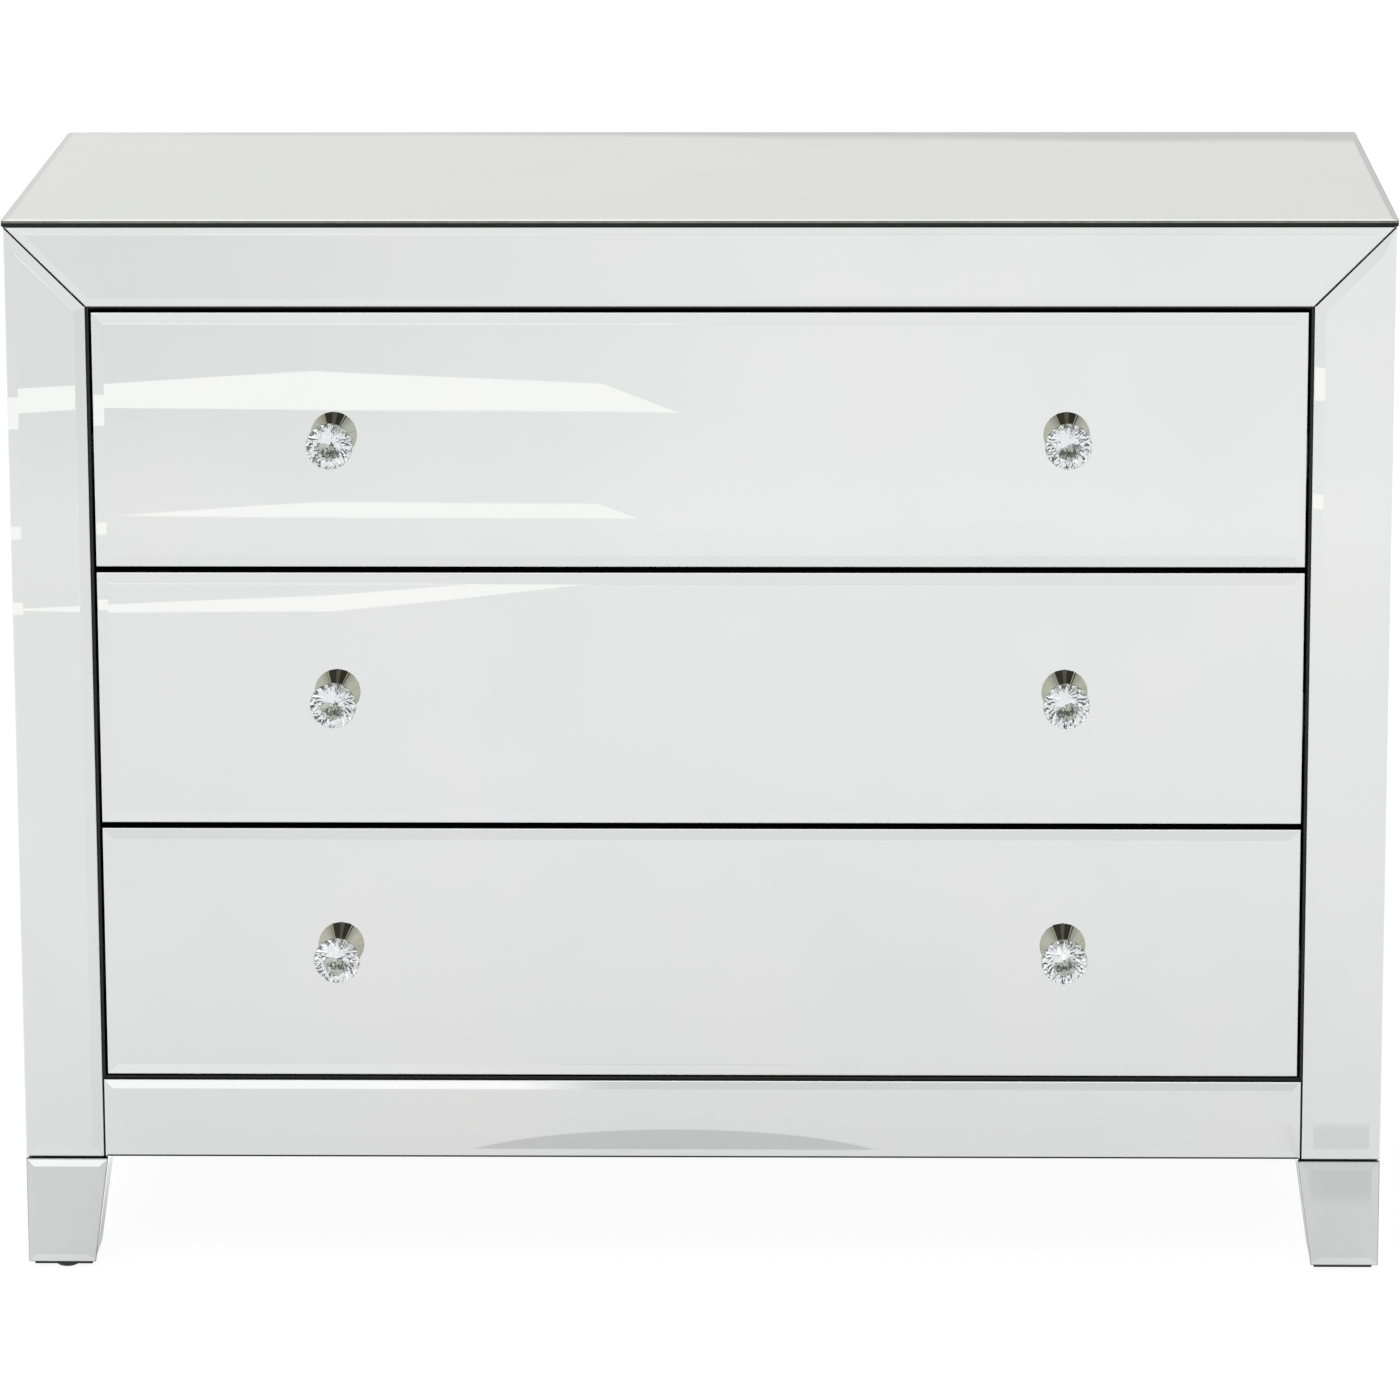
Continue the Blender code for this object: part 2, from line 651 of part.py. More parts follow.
def make_drawer(name, front_z, case, materials):
    """One drawer: mirror, front board, box, its four runner members and its two knobs."""
    box_bottom_z = front_z + BOX_ABOVE_FRONT_EDGE
    box_top_z = front_z + DRAWER_HEIGHT - BOX_BELOW_FRONT_TOP
    box_height = box_top_z - box_bottom_z
    runner_z = box_bottom_z + box_height * RUNNER_LEVEL_SHARE
    centre_z = front_z + DRAWER_HEIGHT / 2
    drawer = make_empty(name, (0, runner_front_y, runner_z))

    front_mirror = add_piece(
        f"{name}_front_mirror",
        bevelled_sheet(rectangle(2 * drawer_front_x, DRAWER_HEIGHT)),
        (0, front_y + GLASS_THICKNESS, centre_z),
        materials["mirror"],
        drawer,
        FACE_FRONT,
    )
    front_board = add_board(
        f"{name}_front_board",
        (-drawer_front_x + FRONT_BOARD_INSET, board_front_y, front_z + FRONT_BOARD_INSET),
        (
            drawer_front_x - FRONT_BOARD_INSET,
            drawer_board_back_y,
            front_z + DRAWER_HEIGHT - FRONT_BOARD_INSET,
        ),
        materials["paint"],
        drawer,
    )
    holes = add_tool(
        f"{name}_screw_holes",
        screw_holes(2 * (GLASS_THICKNESS + FRONT_BOARD_THICKNESS)),
        (0, board_front_y, centre_z),
        materials["paint"],
        drawer,
        FACE_FRONT,
    )
    combine(front_mirror, holes, "DIFFERENCE")
    combine(front_board, holes, "DIFFERENCE")

    # The bottom panel slides in grooves of the sides and of the front board, and under the back
    groove_low_z = box_bottom_z + GROOVE_HEIGHT_UP
    groove_high_z = groove_low_z + BOX_BOTTOM_THICKNESS + 2 * SEAT_GAP
    panel_x = box_inner_x + GROOVE_DEPTH - SEAT_GAP
    groove = add_tool(
        f"{name}_front_groove",
        cuboid((2 * (panel_x + SEAT_GAP), 2 * GROOVE_DEPTH, groove_high_z - groove_low_z)),
        (0, drawer_board_back_y, (groove_low_z + groove_high_z) / 2),
        materials["paint"],
        drawer,
    )
    combine(front_board, groove, "DIFFERENCE")
    add_board(
        f"{name}_bottom",
        (-panel_x, drawer_board_back_y - GROOVE_DEPTH + SEAT_GAP, groove_low_z + SEAT_GAP),
        (panel_x, box_back_y, groove_high_z - SEAT_GAP),
        materials["lining"],
        drawer,
    )
    add_board(
        f"{name}_back",
        (-box_inner_x + SEAT_GAP, box_back_y - BOX_WALL, groove_high_z),
        (box_inner_x - SEAT_GAP, box_back_y, box_top_z),
        materials["box"],
        drawer,
    )

    for side in (-1, 1):
        label = "left" if side < 0 else "right"
        section = [
            (0, 0),
            (BOX_WALL, 0),
            (BOX_WALL, groove_low_z - box_bottom_z),
            (BOX_WALL - GROOVE_DEPTH, groove_low_z - box_bottom_z),
            (BOX_WALL - GROOVE_DEPTH, groove_high_z - box_bottom_z),
            (BOX_WALL, groove_high_z - box_bottom_z),
            (BOX_WALL, box_height),
            (0, box_height),
        ]
        add_piece(
            f"{name}_{label}_side",
            drawn_section([(-side * x, z) for x, z in section], box_back_y - box_front_y),
            (side * box_outer_x, (box_front_y + box_back_y) / 2, box_bottom_z),
            materials["box"],
            drawer,
        )
        make_runner(name, side, runner_z, case, drawer, materials["steel"])
        make_knob(name, side, centre_z, drawer, materials["chrome"], materials["crystal"])


def main():
    clear_scene()
    materials = {
        "mirror": make_material("mirror", (0.80, 0.82, 0.81), 1.0, 0.03),
        "paint": make_material("black_paint", (0.012, 0.012, 0.011), 0.0, 0.45),
        "back": make_material("back_board", (0.020, 0.019, 0.018), 0.0, 0.70),
        "box": make_material("drawer_box", (0.035, 0.034, 0.033), 0.0, 0.60),
        "lining": make_material("drawer_lining", (0.025, 0.025, 0.026), 0.0, 0.80),
        "steel": make_material("runner_steel", (0.58, 0.59, 0.60), 1.0, 0.30),
        "chrome": make_material("chrome", (0.72, 0.72, 0.70), 1.0, 0.06),
        "crystal": make_material("crystal", (1.0, 1.0, 1.0), 0.0, 0.0, transmission=1.0, ior=1.55),
    }
    chest = make_empty("chest", (0, 0, 0))
    make_case(chest, materials["mirror"], materials["paint"], materials["back"])
    for end, end_label in ((-1, "front"), (1, "rear")):
        for side, side_label in ((-1, "left"), (1, "right")):
            make_leg(f"{end_label}_{side_label}_leg", side, end, chest, materials["mirror"])
    for index, name in enumerate(DRAWER_NAMES):
        make_drawer(name, first_drawer_z + index * drawer_pitch, chest, materials)


main()
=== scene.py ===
"""The finish of a mirrored chest of three drawers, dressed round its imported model.

Metres, in the model's own frame: +Z up, the floor at Z = 0, and the drawers open towards -Y.
"""

import math
from collections import namedtuple
from functools import cache, partialmethod

import bmesh
import bpy
from mathutils import Matrix, Vector


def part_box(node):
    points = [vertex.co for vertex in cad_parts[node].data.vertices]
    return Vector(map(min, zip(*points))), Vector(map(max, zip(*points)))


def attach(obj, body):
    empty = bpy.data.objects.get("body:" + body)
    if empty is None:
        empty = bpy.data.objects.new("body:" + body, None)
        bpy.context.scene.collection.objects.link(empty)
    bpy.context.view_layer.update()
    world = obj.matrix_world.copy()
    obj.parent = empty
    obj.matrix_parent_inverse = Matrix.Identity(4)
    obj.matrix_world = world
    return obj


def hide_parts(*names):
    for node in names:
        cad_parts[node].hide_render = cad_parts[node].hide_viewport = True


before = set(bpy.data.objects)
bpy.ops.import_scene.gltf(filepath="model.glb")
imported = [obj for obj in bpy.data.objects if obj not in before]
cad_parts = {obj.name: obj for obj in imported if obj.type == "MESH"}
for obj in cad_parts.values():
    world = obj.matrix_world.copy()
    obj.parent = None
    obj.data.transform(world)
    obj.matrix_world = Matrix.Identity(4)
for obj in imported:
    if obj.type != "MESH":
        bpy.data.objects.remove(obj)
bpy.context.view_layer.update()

DRAWERS = ("bottom_drawer", "middle_drawer", "top_drawer")
CASE_BOARDS = (
    "top_board", "bottom_board", "front_top_rail", "front_bottom_rail", "left_side_panel", "right_side_panel",
)
# Each side and end, with its direction along X or Y
SIDES = {"left": -1, "right": 1}
ENDS = {"front": -1, "rear": 1}

# Camera, fitted to the chest's corners in the photograph
CAMERA_PLACE = (0.1140, -5.4691, 1.6394)
CAMERA_YAW = math.radians(1.245)
CAMERA_PITCH = math.radians(-12.689)
CAMERA_ROLL = math.radians(0.205)
CAMERA_SENSOR_MM = 36
CAMERA_LENS_MM = 179.84

# Mirror sheets: a ground bevel runs round the face, and a seamed arris round the bevel
GLASS_THICKNESS = 0.005
POLISH_WIDTH = 0.0003
Grinding = namedtuple("Grinding", "bevel_width bevel_depth arris_width arris_drop frosted_band corner_radius")
PANE_GRINDING = Grinding(0.0085, 0.0012, 0.0007, 0.0005, 0, 0)
TOP_GRINDING = Grinding(0.0052, 0.0006, 0.0004, 0.0002, 0.0014, 0.0040)
TOP_RAIL_GRINDING = Grinding(0.0060, 0.00085, 0.0007, 0.0005, 0, 0)
BOTTOM_RAIL_GRINDING = Grinding(0.0068, 0.00096, 0.0007, 0.0005, 0, 0)
LEG_GRINDING = Grinding(0.0063, 0.0009, 0.0007, 0.0005, 0, 0)
# How far in from its arris the bottom rail's silver is drawn near-black along its lower edge, a painted
# shadow line
RAIL_PAINTED_SHADOW_WIDTH = 0.0008
CORNER_STEPS = 4
SEAT_GAP = 0.0003
MITRE_GAP = 0.0012
HOLE_DIAMETER = 0.005

# A sheet's sides are numbered anticlockwise from in front, and the first is the lower one
LOWER_SIDE = 0
UPPER_SIDE = 2
# A stile's outline starts so that its inner side is the same for left and right
INNER_SIDE = 3
# The corners of a box's sides, in that order: along each axis 0 is the box's low limit and 1 its high one
BOX_SIDES = {
    "up": ((0, 0, 1), (1, 0, 1), (1, 1, 1), (0, 1, 1)),
    "front": ((0, 0, 0), (1, 0, 0), (1, 0, 1), (0, 0, 1)),
    "left": ((0, 1, 0), (0, 0, 0), (0, 0, 1), (0, 1, 1)),
    "right": ((1, 0, 0), (1, 1, 0), (1, 1, 1), (1, 0, 1)),
}

# Legs, measured on the square section; only the two inner faces lean
LEG_TOP_WIDTH = 0.064
LEG_FOOT_WIDTH = 0.0525
LEG_HEIGHT = 0.0841
PAD_THICKNESS = 0.0014
PAD_SIDE_INSET = 0.005
PAD_END_INSET = 0.0006
PAD_INNER_INSET = 0.0022
PAD_ROUNDING = 0.0004
GLIDE_DIAMETER = 0.0195
GLIDE_FLAT_DIAMETER = 0.006
GLIDE_HEIGHT = 0.0038
# How far a glide's middle lies in from the leg's outer side and outer end; one was nailed on near the front
GLIDE_PLACE = (0.0285, 0.027)
OFF_CENTRE_GLIDES = {"front_left_leg": (0.0297, 0.0108)}
LEG_BOLT_RADIUS = 0.004
LEG_BOLT_CORE_RADIUS = 0.0033
LEG_BOLT_PITCH = 0.00125
# How far a leg's bolt goes into the leg, and as far up into the side panel's frame
LEG_BOLT_REACH = 0.025

# Knobs: heights are measured from the foot of the cup outwards
SOCKET_RADIUS = 0.0018
SOCKET_DEPTH = 0.0075
FLANGE_RADIUS = 0.0065
FLANGE_HEIGHT = 0.0015
NECK_RADIUS = 0.0045
NECK_TOP = 0.0035
LIP_WIDTH = 0.0005
CUP_CLEARANCE = 0.0005
CRYSTAL_FOLDS = 8
CRYSTAL_DIAMETER = 0.0355
CRYSTAL_ABOVE_RIM = 0.0008
GIRDLE_THICKNESS = 0.0008
GIRDLE_NOTCH = 0.0007
CROWN_HEIGHT = 0.0062
PAVILION_DEPTH = 0.0143
TABLE_SHARE = 0.56
STAR_SHARE = 0.78
LOWER_SHARE = 0.25
FACET_ROUNDING = 0.00008
FACET_ANGLE = math.radians(4)

# Fasteners
ScrewSize = namedtuple("ScrewSize", "head_radius head_height shank_radius")
KNOB_SCREW = ScrewSize(0.0042, 0.0021, 0.0016)
WOOD_SCREW = ScrewSize(0.0034, 0.0013, 0.0015)
RUNNER_SCREW = ScrewSize(0.0032, 0.0009, 0.0015)
WOOD_SCREW_LENGTH = 0.006
# How much of its cup's socket a knob's screw fills
SOCKET_SHARE = 0.8
# The form of a screw, as shares of its head's radius and height and its shank's radius and length
HEAD_CROWN_SHARE = 0.55
HEAD_SEAT_SHARE = 0.96
HEAD_EDGE_SHARE = 0.12
RECESS_LENGTH_SHARE = 0.95
RECESS_WIDTH_SHARE = 0.22
SHANK_TIP_SHARE = 0.6
SHANK_TAPER_SHARE = 0.86
HEAD_DOME_START = 12
HEAD_DOME_STEPS = 8
WASHER_CLEARANCE = 0.000125
WASHER_RADIUS = 0.0065
WASHER_THICKNESS = 0.001
BACK_SCREW_INSET = 0.009
BACK_SCREW_COLUMNS = 8
BACK_SCREW_ROWS = 6
# How much further each back screw's recess is turned than the last one's
BACK_SCREW_TURN = 0.7
# Where a runner's screws are, as shares of its length from the front; the cage hides the case member's front
CASE_SCREW_SHARES = (0.36, 0.64, 0.93)
DRAWER_SCREW_SHARES = (0.08, 0.50, 0.92)

# Ball-bearing runners
RUNNER_METAL = 0.0012
RUNNER_BALL = 0.0031
BALL_RACE_LEVEL = 0.0147
BALL_PITCH = 0.0125
BALL_COUNT = 8
CAGE_FROM_FRONT = 0.006
CAGE_START = 0.0018
CAGE_END = 0.0083
CAGE_METAL = 0.0005

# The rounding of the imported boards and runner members, whose corners are joined first
BOARD_ROUNDING = 0.0006
STEEL_ROUNDING = 0.00025
WELD_DISTANCE = 0.00005

# How finely round pieces are turned, and the angle past which an edge stays sharp
TURN_STEPS = 96
SCREW_STEPS = 24
DOME_STEPS = 12
BALL_STEPS = 12
SHARP_ANGLE = math.radians(30)
# How near two points count as one, and the turns that make a piece along Z face the front or the back
SAME_PLACE = 0.0000001
FACING_FRONT = Matrix.Rotation(math.pi / 2, 4, "X")
FACING_BACK = Matrix.Rotation(-math.pi / 2, 4, "X")

# Studio floor
FLOOR_RADIUS = 60
FLOOR_STEPS = 128
FLOOR_LEVEL = -0.0002
# Its colour as a lit surface, and what of that and of its own glow the camera and the mirrors see
LIT_FLOOR_GREY = 0.80
CAMERA_FLOOR_GREY = 0.11
CAMERA_FLOOR_GLOW = 0.945
MIRRORED_FLOOR_COLOUR = (0.62, 0.62, 0.622, 1)
MIRRORED_FLOOR_GLOW = 0.42
# The floor that mirrors show right under the chest glows more, up to this edge
UNDER_CHEST_GLOW = 1.30
UNDER_CHEST_HALVES = (0.44, 0.17)
UNDER_CHEST_EDGE = 0.03
CHEST_HALVES = (0.53, 0.25)
# How light mirrors show the floor, by its distance from the chest as a share of the reach
FLOOR_TONE_REACH = 5.0
FLOOR_TONES = (
    (0.0, 0.975), (0.05, 0.955), (0.064, 0.925), (0.08, 0.93), (0.124, 0.95), (0.19, 0.965),
    (0.35, 1.0), (0.51, 1.01), (0.60, 1.045), (0.74, 1.02), (0.92, 1.015),
)
# What changes that tone from place to place: two places along X or Y, and the change at each
FAR_FLOOR_Y = (-4.5, -1.2, 1.0, 0.0)
FAR_FLOOR_X = (-0.9, 0.0, -0.105, 0.0)
ROUND_SHADE_CENTRE = (-0.03, -0.498)
ROUND_SHADE_RADII = (0.194, 0.12)
ROUND_SHADE_EDGE = (0.96, 1.03, 0.23, 0.0)
ROUND_SHADE_FRONT_Y = (-0.545, -0.53, 1.0, 0.0)
LEG_SHADE_LEFT_X = (0.47, 0.50, 0.0, 1.0)
LEG_SHADE_RIGHT_X = (0.57, 0.60, 1.0, 0.0)
LEG_SHADE_FRONT_Y = (-0.645, -0.625, 0.0, 1.0)
LEG_SHADE_BACK_Y = (-0.44, -0.40, 0.11, 0.02)
FOOT_LIGHT_FRONT_Y = (-0.251, -0.246, 0.0, 1.0)
FOOT_LIGHT_BACK_Y = (-0.225, -0.219, 1.0, 0.0)
FOOT_LIGHT_SIDE_X = (0.53, 0.54, 0.15, 0.0)
WALL_FOOT_Y = (-9.0, -6.5, 1.0, 0.0)
WALL_FOOT_X = (-0.75, -0.5, 0.50, -0.145)

# Light strips that lie on the floor in front, each an outline in X and Y, anticlockwise
STRIP_LEVEL = 0.002
STRIP_GLOW = 1.2
STRIP_COLOUR = (1, 1, 0.985, 1)
FLOOR_STRIPS = {
    "far_strip": (
        (-2.13, -3.75), (-2.03, -3.53), (-1.80, -3.62), (-0.86, -3.985), (-0.15, -3.96), (-0.105, -3.95),
        (-0.215, -4.17), (-0.36, -4.205), (-0.61, -4.265), (-0.88, -4.165), (-1.88, -3.83),
    ),
    "middle_strip": (
        (-0.77, -3.256), (-0.605, -3.249), (-0.14, -3.241), (-0.19, -3.333), (-0.53, -3.346), (-0.61, -3.321),
    ),
    "middle_strip_end": ((-1.80, -2.93), (-1.755, -2.86), (-1.365, -3.02), (-1.41, -3.075)),
    "near_strip": (
        (-1.625, -2.53), (-1.595, -2.46), (-1.38, -2.543), (-0.82, -2.702), (-0.725, -2.692),
        (-0.52, -2.698), (-0.47, -2.698), (-0.345, -2.76), (-0.16, -2.866), (-0.295, -2.861),
        (-0.48, -2.786), (-0.655, -2.752), (-0.82, -2.714), (-1.40, -2.594),
    ),
}

# The room that mirrors show behind the chest and ahead of it, by height from the horizon to overhead
BEHIND_TONES = (
    (0.0, (0.85, 0.853, 0.828)), (0.20, (0.85, 0.853, 0.828)), (0.34, (1.12, 1.12, 1.10)),
    (0.44, (1.12, 1.12, 1.11)), (0.72, (0.66, 0.67, 0.67)), (1.0, (0.50, 0.51, 0.52)),
)
AHEAD_TONES = (
    (0.0, (0.90, 0.90, 0.90)), (0.038, (0.91, 0.91, 0.91)), (0.076, (0.98, 0.98, 0.98)),
    (0.11, (1.01, 1.01, 1.01)), (0.35, (0.95, 0.96, 0.97)), (0.72, (0.66, 0.67, 0.67)),
    (1.0, (0.50, 0.51, 0.52)),
)
# Where the tones ahead give way to those behind, along Y
AHEAD_TO_BEHIND = (-0.5, 0.5, 0.0, 1.0)
# Behind the chest the wall is darker below a line, which rises a little from left to right
SKYLINE_SLOPES = (-0.079, 0.07, 0.14164, 0.14265)
SKYLINE_EDGE = (-0.00035, 0.00035, 0.0, 1.0)
BELOW_SKYLINE_X = (-0.12, -0.03, 0.90, 0.77)
ABOVE_SKYLINE_X = (-0.12, 0.12, 1.01, 0.975)
# Ahead of it the sides are lighter than the middle, and the wall's foot changes from white to grey
AHEAD_MIDDLE_X = -0.02
AHEAD_SIDES = (0.095, 0.11, 1.0, 1.08)
WALL_FOOT_Z = (0.012, 0.022, 1.0, 0.0)
WALL_FOOT_CHANGE_X = (-0.047, -0.034, 0.0, 1.0)
WALL_FOOT_WHITE = (1.22, 1.22, 1.22, 1)
WALL_FOOT_GREY = (0.81, 0.82, 0.82, 1)
# The dark ceiling with light seams that the cups show in the mirrors, by its lean to either side
CEILING_LEAN = 0.80
CEILING_START = 0.4
CEILING_REACH = 1.2
CEILING_TONES = (
    (0.0, (0.05, 0.048, 0.042)), (0.175, (0.66, 0.64, 0.56)), (0.25, (0.080, 0.077, 0.070)),
    (0.455, (0.20, 0.195, 0.18)), (0.56, (0.070, 0.067, 0.062)), (0.75, (0.78, 0.76, 0.69)),
    (0.785, (0.10, 0.095, 0.085)),
)
# The light and dark parts of the room that a crystal's facets break up
CUT_GLASS_CELLS = 2.4
CUT_GLASS_TONES = (
    (0.0, (0.08, 0.08, 0.085)), (0.12, (0.42, 0.43, 0.45)), (0.20, (0.83, 0.84, 0.87)),
    (0.66, (1.16, 1.17, 1.18)),
)
KNOB_LEVEL = 0.46
# Light that has bounced more than this often has been inside a crystal
CRYSTAL_DEPTH = 2.5
# The world counts one bounce more than a surface does, so past this it is seen by way of two mirrors
WORLD_DEPTH_BY_TWO_MIRRORS = 2.5
# Keeps a slope finite near the horizon
LEAST_DIVISOR = 0.05
WORLD_LIGHT = 0.72
LAMP_POWER = 0.95
LAMP_WIDTH = math.radians(50)
LAMP_TILT = (math.radians(32), math.radians(-18), 0)


class Flow:
    """What an output of a shader node gives. A sum with it adds the node that works the sum out."""

    def __init__(self, socket):
        self.socket = socket
        self.tree = socket.id_data

    def maths(self, operation, *others):
        return flow(self.tree, "ShaderNodeMath", "Value", self, *others, settings={"operation": operation})

    def __rsub__(self, number):
        return self * -1 + number

    __add__ = partialmethod(maths, "ADD")
    __sub__ = partialmethod(maths, "SUBTRACT")
    __mul__ = partialmethod(maths, "MULTIPLY")
    __truediv__ = partialmethod(maths, "DIVIDE")
    __pow__ = partialmethod(maths, "POWER")
    __abs__ = partialmethod(maths, "ABSOLUTE")


def feed(socket, value):
    if isinstance(value, Flow):
        value.tree.links.new(value.socket, socket)
    else:
        socket.default_value = value


def add_node(tree, kind, *values, settings=None, **sockets):
    """Adds a shader node. Values go to its first inputs in turn, and a socket's name has _ for each space."""
    node = tree.nodes.new(kind)
    for setting, value in (settings or {}).items():
        setattr(node, setting, value)
    for socket, value in zip(node.inputs, values):
        feed(socket, value)
    for name, value in sockets.items():
        feed(node.inputs[name.replace("_", " ")], value)
    return node


def flow(tree, kind, output, *values, **options):
    """Adds a shader node and returns one of its outputs, given by name or number."""
    return Flow(add_node(tree, kind, *values, **options).outputs[output])


def flows(tree, kind, **options):
    """Adds a shader node and returns all its outputs by name."""
    return {output.name: Flow(output) for output in add_node(tree, kind, **options).outputs}


def vector_maths(operation, first, *others):
    settings = {"operation": operation}
    return flow(first.tree, "ShaderNodeVectorMath", "Vector", first, *others, settings=settings)


def stretched(place, scale, turn=(0, 0, 0)):
    return flow(place.tree, "ShaderNodeMapping", "Vector", Vector=place, Scale=scale, Rotation=turn)


def noise(place, scale, detail=2, roughness=0.5, distortion=0):
    settings = {"Scale": scale, "Detail": detail, "Roughness": roughness, "Distortion": distortion}
    return flow(place.tree, "ShaderNodeTexNoise", "Fac", Vector=place, **settings)


def cells(place, scale):
    """A mosaic, with a number from 0 to 1 for each of its cells."""
    colour = flow(place.tree, "ShaderNodeTexVoronoi", "Color", Vector=place, Scale=scale)
    return flow(place.tree, "ShaderNodeSeparateColor", "Red", Color=colour)


def fade(value, low, high, to_low, to_high):
    """Turns a value between two limits into one between two others, and holds it past them."""
    return flow(value.tree, "ShaderNodeMapRange", "Result", value, low, high, to_low, to_high)


def ramp(factor, *stops, interpolation="LINEAR"):
    node = add_node(factor.tree, "ShaderNodeValToRGB", Fac=factor)
    node.color_ramp.interpolation = interpolation
    elements = node.color_ramp.elements
    while len(elements) < len(stops):
        elements.new(0.5)
    for element, (position, colour) in zip(elements, stops):
        element.position = position
        element.color = (*colour, 1)
    return Flow(node.outputs["Color"])


def mixed(factor, first, second, blend="MIX"):
    tree = (factor if isinstance(factor, Flow) else first).tree
    node = add_node(tree, "ShaderNodeMix", factor, settings={"data_type": "RGBA", "blend_type": blend})
    feed(node.inputs[6], first)
    feed(node.inputs[7], second)
    return Flow(node.outputs[2])


def toned(colour, tone):
    return mixed(1.0, colour, tone, "MULTIPLY")


def grey(level):
    return level, level, level, 1


def bump(height, distance, strength=1.0):
    return flow(height.tree, "ShaderNodeBump", "Normal", Height=height, Distance=distance, Strength=strength)


def silver_surface(place, tones, painted_light_toning=None):
    """Silvered glass: clouding a touch either side of neutral, faint wipe marks and hairline scratches.

    Silver with painted light or shade on a bevel changes its tone along one axis: the axis, two places there,
    and the tone at each.
    """
    colour = ramp(noise(place, 7, 3, 0.55), *zip((0.30, 0.50, 0.72), tones))
    # Painted light or shade: the silver is made lighter or darker along one axis
    if painted_light_toning:
        axis, *limits = painted_light_toning
        along = flow(place.tree, "ShaderNodeSeparateXYZ", axis, Vector=place)
        colour = toned(colour, fade(along, *limits))
    wiped = noise(stretched(place, (5, 5, 16), (0.3, 0.5, 0.2)), 1, 4, 0.6)
    hairs = noise(stretched(place, (1.7, 1.7, 620), (0.2, 0.62, 0.1)), 1, 0)
    patches = noise(stretched(place, (3, 3, 3), (0.9, 0.2, 0.4)), 1, 1)
    film = fade(wiped, 0.45, 0.8, 0.004, 0.016)
    scratches = fade(hairs, 0.80, 0.84, 0, 1) * fade(patches, 0.60, 0.68, 0, 0.14)
    return colour, film + scratches, bump(noise(place, 3.2, 1), 0.00005)


def glass_edge(place):
    """The flat ground edge of the glass, which finishes nearly black with the silver behind it."""
    cloud = noise(place, 160, 4, 0.6)
    colour = ramp(cloud, (0.3, (0.006, 0.008, 0.006)), (0.7, (0.016, 0.019, 0.015)))
    return colour, fade(cloud, 0.3, 0.7, 0.22, 0.40), bump(noise(place, 2400), 0.00003, 0.4)


def ground_glass(place, dark, light):
    """Frosted glass where a wheel has seamed the edge, with small nicks."""
    cloud = noise(place, 90, 5, 0.65)
    colour = ramp(cloud, (0.25, dark), (0.6, light))
    return colour, fade(cloud, 0.2, 0.8, 0.30, 0.50), bump(noise(place, 1500), 0.00003, 0.5)


def mirror_backing(place):
    """The grey-green lacquer that seals the silver, with its fine roller texture."""
    cloud = noise(place, 40, 5, 0.6)
    colour = ramp(cloud, (0.3, (0.058, 0.068, 0.062)), (0.7, (0.078, 0.088, 0.080)))
    return colour, fade(cloud, 0.3, 0.7, 0.45, 0.62), bump(noise(place, 1900, 1), 0.00004, 0.4)


def black_plastic(place, roughness):
    """Moulded black plastic or rubber of the pads and glides, with scuffs."""
    scuffs = noise(place, 320, 5, 0.7, 0.5)
    colour = ramp(scuffs, (0.4, (0.012, 0.012, 0.012)), (0.8, (0.040, 0.039, 0.037)))
    gloss = fade(scuffs, 0.3, 0.7, roughness - 0.08, roughness + 0.1)
    return colour, gloss, bump(noise(place, 1800), 0.00005, 0.5)


def black_paint(place):
    """Sprayed satin lacquer on fibreboard: orange peel, a little dust, slightly worn gloss."""
    cloud = noise(place, 14, 5, 0.6)
    dust = fade(noise(place, 2600, 1), 0.76, 0.80, 0, 0.25)
    base = ramp(cloud, (0.3, (0.0100, 0.0100, 0.0096)), (0.7, (0.0150, 0.0148, 0.0140)))
    colour = mixed(dust, base, (0.10, 0.10, 0.095, 1))
    return colour, fade(cloud, 0.3, 0.7, 0.36, 0.50), bump(noise(place, 700), 0.00005, 0.5)


def back_board(place):
    """Dark hardboard with pressed fibres and a faint sieve pattern."""
    fibres = noise(stretched(place, (260, 260, 900)), 1, 5, 0.7, 0.6)
    tones = ((0.30, (0.011, 0.010, 0.009)), (0.55, (0.021, 0.019, 0.017)), (0.78, (0.046, 0.038, 0.031)))
    blotches = fade(noise(place, 6, 4, 0.6), 0.3, 0.7, 0, 0.4)
    colour = mixed(blotches, ramp(fibres, *tones), (0.016, 0.0145, 0.013, 1))
    sieve = flow(place.tree, "ShaderNodeTexVoronoi", "Distance", Vector=place, Scale=520)
    return colour, fade(fibres, 0.3, 0.7, 0.62, 0.85), bump(fibres + sieve * 0.5, 0.0002, 0.5)


def drawer_foil(place):
    """Black ash foil on the drawer boxes: long open grain, printed and embossed."""
    bent = noise(place, 5)
    drift = flow(place.tree, "ShaderNodeCombineXYZ", "Vector", X=bent, Z=bent)
    grain = noise(vector_maths("ADD", stretched(place, (70, 5, 110)), drift), 1, 5, 0.65, 0.4)
    tones = ((0.32, (0.022, 0.021, 0.020)), (0.50, (0.034, 0.033, 0.031)), (0.70, (0.050, 0.048, 0.045)))
    pores = fade(noise(stretched(place, (900, 28, 900)), 1, 1), 0.60, 0.70, 0, 1)
    colour = mixed(pores * 0.6, ramp(grain, *tones), (0.010, 0.010, 0.010, 1))
    return colour, fade(grain, 0.3, 0.7, 0.46, 0.62), bump(grain - pores, 0.00012, 0.5)


